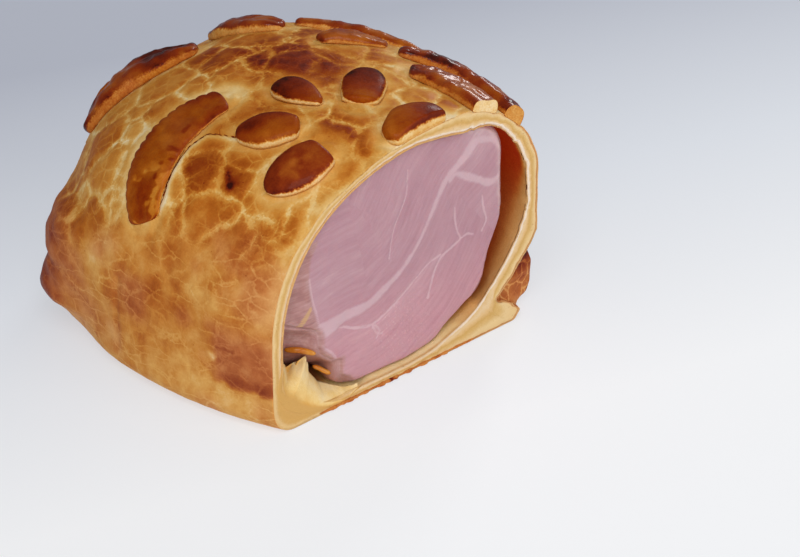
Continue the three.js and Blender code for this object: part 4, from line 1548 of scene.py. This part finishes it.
def ham_material():
    """Pink lean with streaks along the fibre, lighter low on the face as painted light, then fat,
    the tanned flank and the juices.
    """
    material, tree = new_material("cooked_ham")
    spot = object_place(tree)
    fat, thin, paleness_in = fields_of(tree, "marbling")
    flank_in, grainy_in, rim_in = fields_of(tree, "meat")
    back, low, yellow = fields_of(tree, "juice")
    fibre = place(tree, "ShaderNodeAttribute", attribute_name="fibre").outputs["Vector"]
    streaks = {"Vector": fibre, "Scale": 0.55, "Detail": 4.0, "Roughness": 0.6}
    streak = calc(tree, "SUBTRACT", place(tree, "ShaderNodeTexNoise", streaks).outputs[0], 0.5)
    grain, wavy = speckle(tree, spot, 1.0, 3), speckle(tree, spot, 7, 3)

    # The lean: lighter and darker streaks, and pale flecks in the grainy muscle.
    fleck = times(tree, fade(tree, cells(tree, spot, 2.0), 0.12, 0.42), grainy_in)
    light = plus(
        tree, 0.42, (paleness_in, 0.6), (streak, 0.9), (grain, 0.22), (wavy, 0.2), (fleck, 0.35),
    )
    # Lighter and warmer low on the face: painted light. Behind the cut, the same share marks the
    # stewed side.
    colour = blend(tree, low, ramp(tree, light, COOL_STOPS), ramp(tree, light, WARM_STOPS))

    # The fat: thin lines, the broad line and its band, and the rim.
    veins = fade(tree, plus(tree, thin, (grain, 0.8), (wavy, 1.2)), -0.3, 0.6)
    colour = blend(tree, times(tree, veins, 0.55), colour, paint(214, 180, 186))
    fatty = fade(tree, plus(tree, fat, (grain, 1.0), (wavy, 2.4)), -0.9, 1.1)
    colour = blend(tree, times(tree, fatty, 0.75), colour, paint(204, 170, 176))
    rim_fat = fade(tree, plus(tree, rim_in, (wavy, 3.0)), 0.2, 2.4)
    colour = blend(tree, times(tree, rim_fat, 0.7), colour, paint(212, 180, 178))

    # The flank, the yellow line of juice, and the stewed side behind the cut.
    tanned = ramp(tree, plus(tree, 0.5, (wavy, 0.8), (streak, 1.0)), TANNED_STOPS)
    colour = blend(tree, flank_in, colour, tanned)
    yellowish = fade(tree, plus(tree, yellow, (grain, 0.8)), -0.3, 0.6)
    colour = blend(tree, times(tree, yellowish, 0.7), colour, paint(204, 162, 104))
    stewed = step(tree, plus(tree, low, (wavy, 0.9)), 0.4, 0.8)
    stewed = times(tree, stewed, step(tree, back, 0.5, 9.0))
    colour = blend(tree, times(tree, stewed, 0.7), colour, paint(150, 92, 70))
    finish_material(tree, {
        "Base Color": colour,
        "Roughness": plus(tree, 0.46, (grain, 0.3)),
        "Normal": bumps(tree, 0.28, 0.0005, plus(tree, grain, (fleck, 1.2), (streak, 1.2))),
        "Coat Weight": 0.12,
        "Coat Roughness": 0.3,
        "Subsurface Weight": 0.12,
        "Subsurface Scale": 0.003,
    })
    return material


ham_back = inner_pole - (0, SNUG_GAP, 0)
add_piece(
    "sliced_ham", np.concatenate([ham_face, ham_body]), [ham_material()], "ham", ham_fields,
    (ham_face[0].mean(0), ham_back),
)

# %% [markdown]
# ## Glazed trimmings
# Each strip or petal is a closed section of dough carried along its curve. The section is nearly a
# box with rounded shoulders. The top was brushed with egg and baked dark and glossy, while the cut
# sides stayed pale and show the layers of the rolled dough.

# %% Material: glazed dough
def glazed_material():
    """Bare sides up to the start of the glaze, and above it the dark glossy top."""
    material, tree = new_material("glazed_dough")
    spot = object_place(tree)
    tone_in, blush_in, gloss_in = fields_of(tree, "bake")
    bare_in, rise, start = fields_of(tree, "section")
    grain, wavy = speckle(tree, spot, 0.9, 3), speckle(tree, spot, 5, 3)
    rise_here = plus(tree, rise, (grain, 0.3), (wavy, 0.35))
    glazed = step(tree, calc(tree, "SUBTRACT", rise_here, start), 0.0, 0.3)
    bare = plus(tree, bare_in, (grain, 0.3), (wavy, 0.3))
    top_tone = plus(tree, tone_in, (grain, 0.10), (wavy, 0.16))
    mixed = {0: glazed, 2: bare, 3: top_tone}
    browning = place(tree, "ShaderNodeMix", mixed, data_type="FLOAT").outputs[0]
    blush = calc(tree, "ADD", blush_in, plus(tree, 0.15, (glazed, -0.15)))
    gloss = times(tree, gloss_in, glazed)
    height = times(tree, grain, plus(tree, 2.0, (glazed, -1.2)))
    height = plus(tree, height, (speckle(tree, spot, 3, 3), 1.2))
    finish_material(tree, {
        "Base Color": baked_colour(tree, browning, blush),
        "Roughness": plus(tree, 0.62, (gloss, -0.3)),
        "Normal": bumps(tree, 0.4, 0.0006, height),
        "Coat Weight": times(tree, times(tree, gloss, gloss), 0.5),
        "Coat Roughness": 0.16,
        "Specular IOR Level": 0.04,
    })
    return material


glazed_dough = glazed_material()

# %% [markdown]
# ## A section carried along a curve
# At each place along its curve the trimming has a breadth, a thickness and a direction square to
# the skin. The foot of the section is dropped onto the skin, so it follows the dome. Where a
# trimming passes the cut, each of its lines is shortened to end on that plane, and the slice
# closes it.

# %% Section carried along a curve
SLICE_INSET, SLICE_TONE = 0.95, 0.14


def section_loop(count_over, count_under, squareness):
    """Half breadth v from -1 to 1 and rise h from 0 to 1: over the top |v|^e + h^e = 1, then back
    under the piece, a little inside the crust."""
    t = np.linspace(-1, 1, count_over)
    v_over = np.sin(np.pi / 2 * t)
    h_over = (1 - np.abs(v_over) ** squareness) ** (1 / squareness)
    v_under = np.linspace(1, -1, count_under + 2)[1:-1]
    return np.concatenate([v_over, v_under]), np.concatenate([h_over, 0 * v_under - 0.16])


def end_round(s, share):
    """Quarter of a superellipse at both ends, so that the piece closes roundly."""
    nearest_end = np.minimum(s, 1 - s) / share
    return np.clip(1 - (1 - np.clip(nearest_end, 0, 1)) ** 3, 0, 1) ** (1 / 3)


def laid_point(trim, s, v, h, width):
    """Point at s along the curve, v across it and h up: the foot is dropped onto the skin."""
    middle = plan_curve(trim["path"], s)
    ahead = plan_curve(trim["path"], np.minimum(1, s + 0.02))
    back = plan_curve(trim["path"], np.maximum(0, s - 0.02))
    normal = skin_normal(middle)
    sideways = unit(np.cross(normal, unit(ahead - back)))
    room = (middle[..., 1] - CUT_Y) / np.maximum(sideways[..., 1], 0.02)
    room = np.where(sideways[..., 1] > 0.02, room, FAR_AWAY)
    reach = width(trim, s, v) * v
    reach = np.maximum(reach, -room) if "trimmed" in trim else reach
    foot = skin_drop(middle + sideways * reach[..., None])
    return foot + normal * (h * trim["rise"](trim, s, v))[..., None]


def passes_cut(trim):
    """True for a trimming whose curve ends beyond the plane of the cut."""
    return trim["path"][2][1] < 0


def laid_dough(name, trim, width, sections, loop, fields_at):
    """Sections along the curve. Lines that pass the plane of the cut are shortened to end on it."""
    v, h = loop
    s = 0.5 - 0.5 * np.cos(np.pi * (np.arange(sections) + 0.5) / sections)
    s_end = np.ones_like(v)
    if passes_cut(trim):
        s_end = halving(
            lambda share: laid_point(trim, share, v, h, width)[..., 1] > CUT_Y, 1.0, v.shape,
        )
    s_grid, v_grid = np.broadcast_arrays(s[:, None] * s_end, v)
    h_grid = np.broadcast_to(h, s_grid.shape)
    if passes_cut(trim):
        last = np.arange(sections)[:, None] == sections - 1
        s_grid = np.where(last, s_end, s_grid)
    grid = laid_point(trim, s_grid, v_grid, h_grid, width)
    grid[..., 1] = np.maximum(grid[..., 1], CUT_Y)
    fields = fields_at(trim, grid, s_grid, v_grid, h_grid)
    if passes_cut(trim):
        sliced = lerp(grid[-1].mean(0), grid[-1], SLICE_INSET)
        grid = np.concatenate([grid, sliced[None]])
        pale = {"bake": (PALE, 0.1, 0.0), "section": (trim.get("slice_tone", SLICE_TONE), 0.0, 2.0)}
        fields = {key: np.concatenate([values, np.broadcast_to(pale[key], values[:1].shape)])
                  for key, values in fields.items()}
    add_piece(name + "_dough", grid, [glazed_dough], name, fields)

# %% [markdown]
# ## Strips
# A strip is cut with a knife or a pastry wheel, so its edge is ragged or a row of small arches. Its
# glaze is cloudy, darkest at the edges and at the upper end. All seven share the same functions,
# and the table gives each its own tones and habits.

# %% Form of the strips
# Browning, blush and gloss of the glaze. Browning of the bare side, and where the glaze starts.
STRIP_FINISH = {
    "strip_1": dict(
        tones=(0.74, 0.05, 0.3), bare=(0.42, 0.05), arch=0.12, flat=True, uneven=0.12, end=0.04,
        patchy=0.1,
    ),
    "strip_2": dict(tones=(0.86, 0.10, 0.7), bare=(0.56, 0.34), groove=(0.15, 0.05, 0.5)),
    "strip_3": dict(tones=(0.84, 0.1, 0.9), bare=(0.38, 0.40)),
    "strip_4": dict(tones=(0.71, 0.05, 0.6), bare=(0.42, 0.10)),
    "strip_5": dict(tones=(0.77, 0.1, 0.6), bare=(0.46, 0.20)),
    "strip_6": dict(tones=(0.82, 0.10, 0.8), bare=(0.54, 0.20), slice_tone=0.42),
    "strip_7": dict(tones=(0.77, 0.1, 0.85), bare=(0.52, 0.30)),
}


def closed_end(trim, s):
    """s, but no end beyond the middle for a strip that the slice cuts through."""
    return np.where(passes_cut(trim), np.minimum(s, 0.5), s)


def on_strip(trim, s, v):
    """A place for noise: millimetres along the strip, across it, and a number of its own."""
    breadth = trim["breadth"]
    return vectors(6.0 * trim["scallops"] * s, v * breadth / 2, 3.7 * breadth)


def scalloped(trim, s, v):
    """Half the breadth. The edge is ragged, and the outer edge of the flat strip is a row of
    arches, as a pastry wheel cuts it: |sin| of the way along."""
    side = on_strip(trim, s, np.sign(v))
    ragged = 1 + 0.045 * soft_noise(side, 10, 95) + 0.03 * soft_noise(side, 3.2, 96)
    arches = np.abs(np.sin(np.pi * trim["scallops"] * s)) ** 0.6
    arched = 1 - trim.get("arch", 0) * (v < 0) * (1 - arches) * (1 - 0.6 * smooth(s, 0.55, 0.75))
    ends = end_round(closed_end(trim, s), trim.get("end", 0.05))
    return strip_width(trim, s) * ragged * arched * ends


def strip_rise(trim, s, v):
    """Thickness: lower at the ends and uneven on top, and lower still in a groove."""
    taper = swell(s) ** 0.55
    uneven = 1 + trim.get("uneven", 0.2) * clouds(on_strip(trim, s, v), 9, 97)
    groove = groove_share_of(trim, s, v)
    sag = 1 - 0.06 * np.cos(np.pi * v)
    ends = end_round(closed_end(trim, s), 0.05)
    return trim["lift"] * taper * uneven * sag * (1 - 0.45 * groove) * ends


def groove_share_of(trim, s, v):
    """1 in the groove that parts the second strip into two lobes at its lower half."""
    if "groove" not in trim:
        return 0 * s
    across, low, high = trim["groove"]
    from_groove = v - across - 0.25 * (s - low)
    groove = np.exp(-((from_groove / 0.16) ** 2)) * smooth(s, low, low + 0.08)
    return groove * (1 - smooth(s, high - 0.1, high))


# %% Glaze of the strips
def strip_fields(trim, grid, s, v, h):
    """Tone of the glaze: clouds, burnt edges and ends, dark mottles and pale blotches."""
    tone_0, blush_0, gloss_0 = trim["tones"]
    bare_0, start_0 = trim["bare"]
    spot = on_strip(trim, s, v)
    tone_here = tone_0 + trim.get("patchy", 0.2) * clouds(spot, 11, 91) + 0.07 * np.abs(v) ** 8
    tone_here = np.minimum(tone_here + 0.12 * np.exp(-((s / 0.07) ** 2)), 0.97)
    if trim.get("flat"):
        inner = smooth(v, 0.25, 0.6) * (1 - smooth(v, 0.9, 1))
        mottle = smooth(soft_noise(spot, 4.5, 98), 0.1, 0.5) * inner * smooth(s, 0.15, 0.3)
        blotch = smooth(clouds(spot, 6, 99) + 0.5 * v, 0.25, 0.6) * smooth(s, 0.6, 0.8)
        tone_here = tone_here + 0.13 * mottle - 0.2 * blotch
    tone_here = tone_here - 0.40 * groove_share_of(trim, s, v)
    start = start_0 + 0.25 * soft_noise(on_strip(trim, s, 0 * v), 11, 100) * np.abs(v)
    return {
        "bake": vectors(tone_here, blush_0 + 0.2 * clouds(spot, 15, 92), gloss_0),
        "section": vectors(bare_0, np.clip(h, 0, 1), start),
    }


SECTIONS_PER_SCALLOP = 14
strip_loop = section_loop(48, 10, 2.7)
for name, finish in STRIP_FINISH.items():
    strip = {**STRIPS[name], **finish, "rise": strip_rise}
    sections = SECTIONS_PER_SCALLOP * strip["scallops"]
    laid_dough(name, strip, scalloped, sections, strip_loop, strip_fields)

# %% [markdown]
# ## Petals
# The five petals of the flower are thin leaves of the same dough, pressed on at their inner ends.
# They are made as the strips are, with a rounder outline and a glaze that darkens to the tip.

# %% Petals
# Browning of the inner end and the outer tip, then blush and gloss.
PETAL_FINISH = {
    "petal_1": dict(tones=(0.70, 0.90, 0.05, 0.3), lean=-0.5),
    "petal_2": dict(tones=(0.74, 0.97, 0.05, 0.3)),
    "petal_3": dict(tones=(0.76, 0.95, 0.0, 0.25)),
    "petal_4": dict(tones=(0.68, 0.88, 0.05, 0.4), lean=-0.4),
    "petal_5": dict(tones=(0.80, 0.90, 0.2, 0.4), mottled=0.22),
}
PETAL_SECTIONS, PETAL_END = 64, 0.08


def petal_half(trim, s, v):
    """Half the breadth of a petal, with rounded ends and a slightly ragged edge."""
    ragged = 1 + 0.03 * soft_noise(on_strip({**trim, "scallops": 5}, s, np.sign(v)), 6, 101)
    return petal_width(trim, s) * end_round(s, PETAL_END) * ragged


def petal_rise(trim, s, v):
    """Thickness of a petal: most where it is broad, and a little crowned."""
    full = 0.5 + 0.5 * petal_width(trim, s) / (trim["breadth"] / 2)
    return trim["lift"] * full * (1 + 0.10 * (1 - v ** 2)) * end_round(s, PETAL_END)


def petal_fields(trim, grid, s, v, h):
    """Tone of the glaze: from the inner end to the outer tip, darker at one side or at the edge."""
    inner, outer, blush_0, gloss_0 = trim["tones"]
    along = smooth(s + trim.get("lean", 0) * v, 0.05, 0.85)
    tone_here = lerp(inner, outer, along) + 0.04 * clouds(grid, 7, 93) + 0.05 * np.abs(v) ** 4
    middle = np.exp(-(((s - 0.5) / 0.28) ** 2) - ((v / 0.55) ** 2))
    mottle = middle * smooth(soft_noise(grid, 3.5, 102), -0.5, 0.5)
    return {
        "bake": vectors(tone_here - trim.get("mottled", 0) * mottle, blush_0, gloss_0),
        "section": vectors(0.34 - 0.16 * smooth(h, 0.05, 0.3), np.clip(h, 0, 1), 0.45),
    }


petal_loop = section_loop(44, 10, 3.4)
for name, finish in PETAL_FINISH.items():
    petal = {**PETALS[name], **finish, "rise": petal_rise, "trimmed": True}
    laid_dough(name, petal, petal_half, PETAL_SECTIONS, petal_loop, petal_fields)

# %% [markdown]
# ## Ragged foot of the cut
# The knife tore the underside of the crust, so a ragged edge of crumb lies along the foot of the
# cut, burnt in places. It is a thin closed roll whose two radii follow random noise.

# %% Ragged foot of the cut
FOOT_SECTIONS, FOOT_COLUMNS = 420, 12

on_foot = (degrees > 224) & (degrees < 308) & (outer_edge[:, 2] < 1.0)
foot_ends = outer_edge[on_foot, 0]
foot_x = np.linspace(foot_ends.min() + 0.5, foot_ends.max() - 0.5, FOOT_SECTIONS)
foot = vectors(foot_x, CUT_Y, 0.9)
raggedness = 0.5 + 0.9 * soft_noise(foot, 5, 151) + 0.5 * soft_noise(foot, 1.8, 152)
raggedness = np.clip(raggedness, 0, 1.5)[:, None]
closing = 1 - np.abs(np.linspace(-1, 1, FOOT_SECTIONS)) ** 8
closing = (np.sqrt(np.clip(closing, 0, 1)) + 0.02)[:, None]
round_it = np.linspace(0, 2 * np.pi, FOOT_COLUMNS + 1)[:-1]
foot_y = CUT_Y + 0.35 + (0.5 + 1.5 * raggedness) * closing * np.cos(round_it)
foot_z = 0.75 + (0.4 + 0.45 * raggedness) * closing * np.sin(round_it)
foot_grid = vectors(foot_x[:, None], foot_y, np.maximum(0.02, foot_z))
burnt = smooth(soft_noise(foot_grid, 4, 153), 0.25, 0.6) * smooth(raggedness, 0.3, 0.9)
foot_tone = 0.50 + 0.10 * clouds(foot_grid, 5, 154) + 0.42 * burnt
print("burnt share of the ragged foot:", round(burnt.mean(), 2))
add_piece("ragged_foot", foot_grid, [glazed_dough], None, {
    "bake": vectors(foot_tone, 0.35, 0),
    "section": vectors(foot_tone, 0, 2),
})

# %% [markdown]
# ## Strands of baked juice
# Two amber strands of juice hang at the torn edge, baked hard and glossy. Each is a round section
# carried along a short wandering line, thin at both ends.

# %% Strands of baked juice at the torn edge
# Half thickness of each strand and three points of its middle line.
STRANDS = [
    (1.5, [(-67.9, -96.0, 33.4), (-62.6, -101.7, 33.6), (-56.8, -106.9, 31.2)]),
    (1.2, [(-52.4, -99.2, 20.2), (-48.8, -102.0, 17.0), (-45.4, -104.7, 14.5)]),
]
STRAND_SECTIONS, STRAND_COLUMNS = 40, 16

s = np.linspace(0, 1, STRAND_SECTIONS)
round_it = np.linspace(0, 2 * np.pi, STRAND_COLUMNS + 1)[:-1, None]
for number, (half_thick, points) in enumerate(STRANDS, 1):
    centre = along_chain(np.array(points), s * (len(points) - 1))
    centre = centre + 0.4 * noise_vectors(centre, 4, 141)
    ahead = unit(np.gradient(centre, axis=0))
    sideways = unit(np.cross(ahead, (0, 0, 1)))
    upwards = np.cross(sideways, ahead)
    thick = (half_thick * np.sqrt(1 - (2 * s - 1) ** 4) + 0.05)[:, None, None]
    ring = np.cos(round_it) * sideways[:, None] + np.sin(round_it) * upwards[:, None]
    strand = centre[:, None] + thick * ring
    add_piece(f"juice_strand_{number}", strand, [glazed_dough], None, {
        "bake": vectors(0.54 + 0.1 * clouds(strand, 4, 144), 0, 1),
        "section": vectors(0 * strand[..., 0], 1, 0),
    })
    print("thickest place in mm:", round(2 * thick.max(), 1))

# %% [markdown]
# ## Floor
# The loaf stands on a plain pale floor that glows a little, as a lit glass table does, brightest at
# the near side.

# %% Floor
FLOOR_GLOW = 0.7
FLOOR_REACH, FLOOR_DROP = 4.0, 0.0003


def floor_material():
    """Pale grey that darkens away from the near side, partly as a glow."""
    material, tree = new_material("pale_floor")
    parts = place(tree, "ShaderNodeSeparateXYZ", {0: object_place(tree)}).outputs
    away = plus(tree, 0.32, (parts[1], 1.83), (parts[0], 0.59))
    colour = ramp(tree, away, [
        (0.0, (238, 239, 241)), (0.45, (214, 218, 225)), (1.0, (174, 178, 190)),
    ])
    finish_material(tree, {
        "Base Color": blend(tree, 0.6, colour, paint(0, 0, 0)),
        "Roughness": 0.7, "Specular IOR Level": 0.1,
        "Emission Color": colour, "Emission Strength": FLOOR_GLOW,
    })
    return material


corners = [(-1, -1), (1, -1), (1, 1), (-1, 1)]
floor_mesh = bpy.data.meshes.new("pale_floor")
floor_mesh.from_pydata(
    [(x * FLOOR_REACH, y * FLOOR_REACH, -FLOOR_DROP) for x, y in corners], [], [(0, 1, 2, 3)],
)
floor_mesh.materials.append(floor_material())
floor = bpy.data.objects.new("pale_floor", floor_mesh)
bpy.context.scene.collection.objects.link(floor)

# %% [markdown]
# ## Light
# One large soft lamp hangs above the near side, one shines on the cut, and a small one stands
# behind the far side: its shine runs along the glazed strips. Even daylight fills the shadows.

# %% Lamps
DAYLIGHT, DAYLIGHT_STRENGTH = (0.95, 0.97, 1.0, 1.0), 0.2


def soft_lamp(name, place_at, aim, size, power):
    """A square area lamp that looks at its aim."""
    data = bpy.data.lights.new(name, "AREA")
    data.size = size
    data.energy = power
    lamp = bpy.data.objects.new(name, data)
    bpy.context.scene.collection.objects.link(lamp)
    back = unit(np.array(place_at, float) - np.array(aim, float))
    side = unit(np.cross((0, 0, 1), back))
    lamp.matrix_world = standing(side, np.cross(back, side), back, place_at)
    print(name, "is", round(float(np.linalg.norm(np.subtract(place_at, aim))), 2), "m away")


soft_lamp("near_lamp", (-1.2, -1.2, 1.7), (0, 0, 0.05), 1.5, 30)
soft_lamp("cut_lamp", (0.2, -2.0, 0.9), (0, 0, 0.06), 1.4, 14)
soft_lamp("far_lamp", (1.3, 0.55, 0.85), (0.02, -0.02, 0.12), 0.35, 6)
world = bpy.data.worlds.new("daylight")
world.use_nodes = True
background = world.node_tree.nodes["Background"]
background.inputs[0].default_value = DAYLIGHT
background.inputs[1].default_value = DAYLIGHT_STRENGTH
bpy.context.scene.world = world
bpy.context.scene.view_settings.view_transform = "Standard"
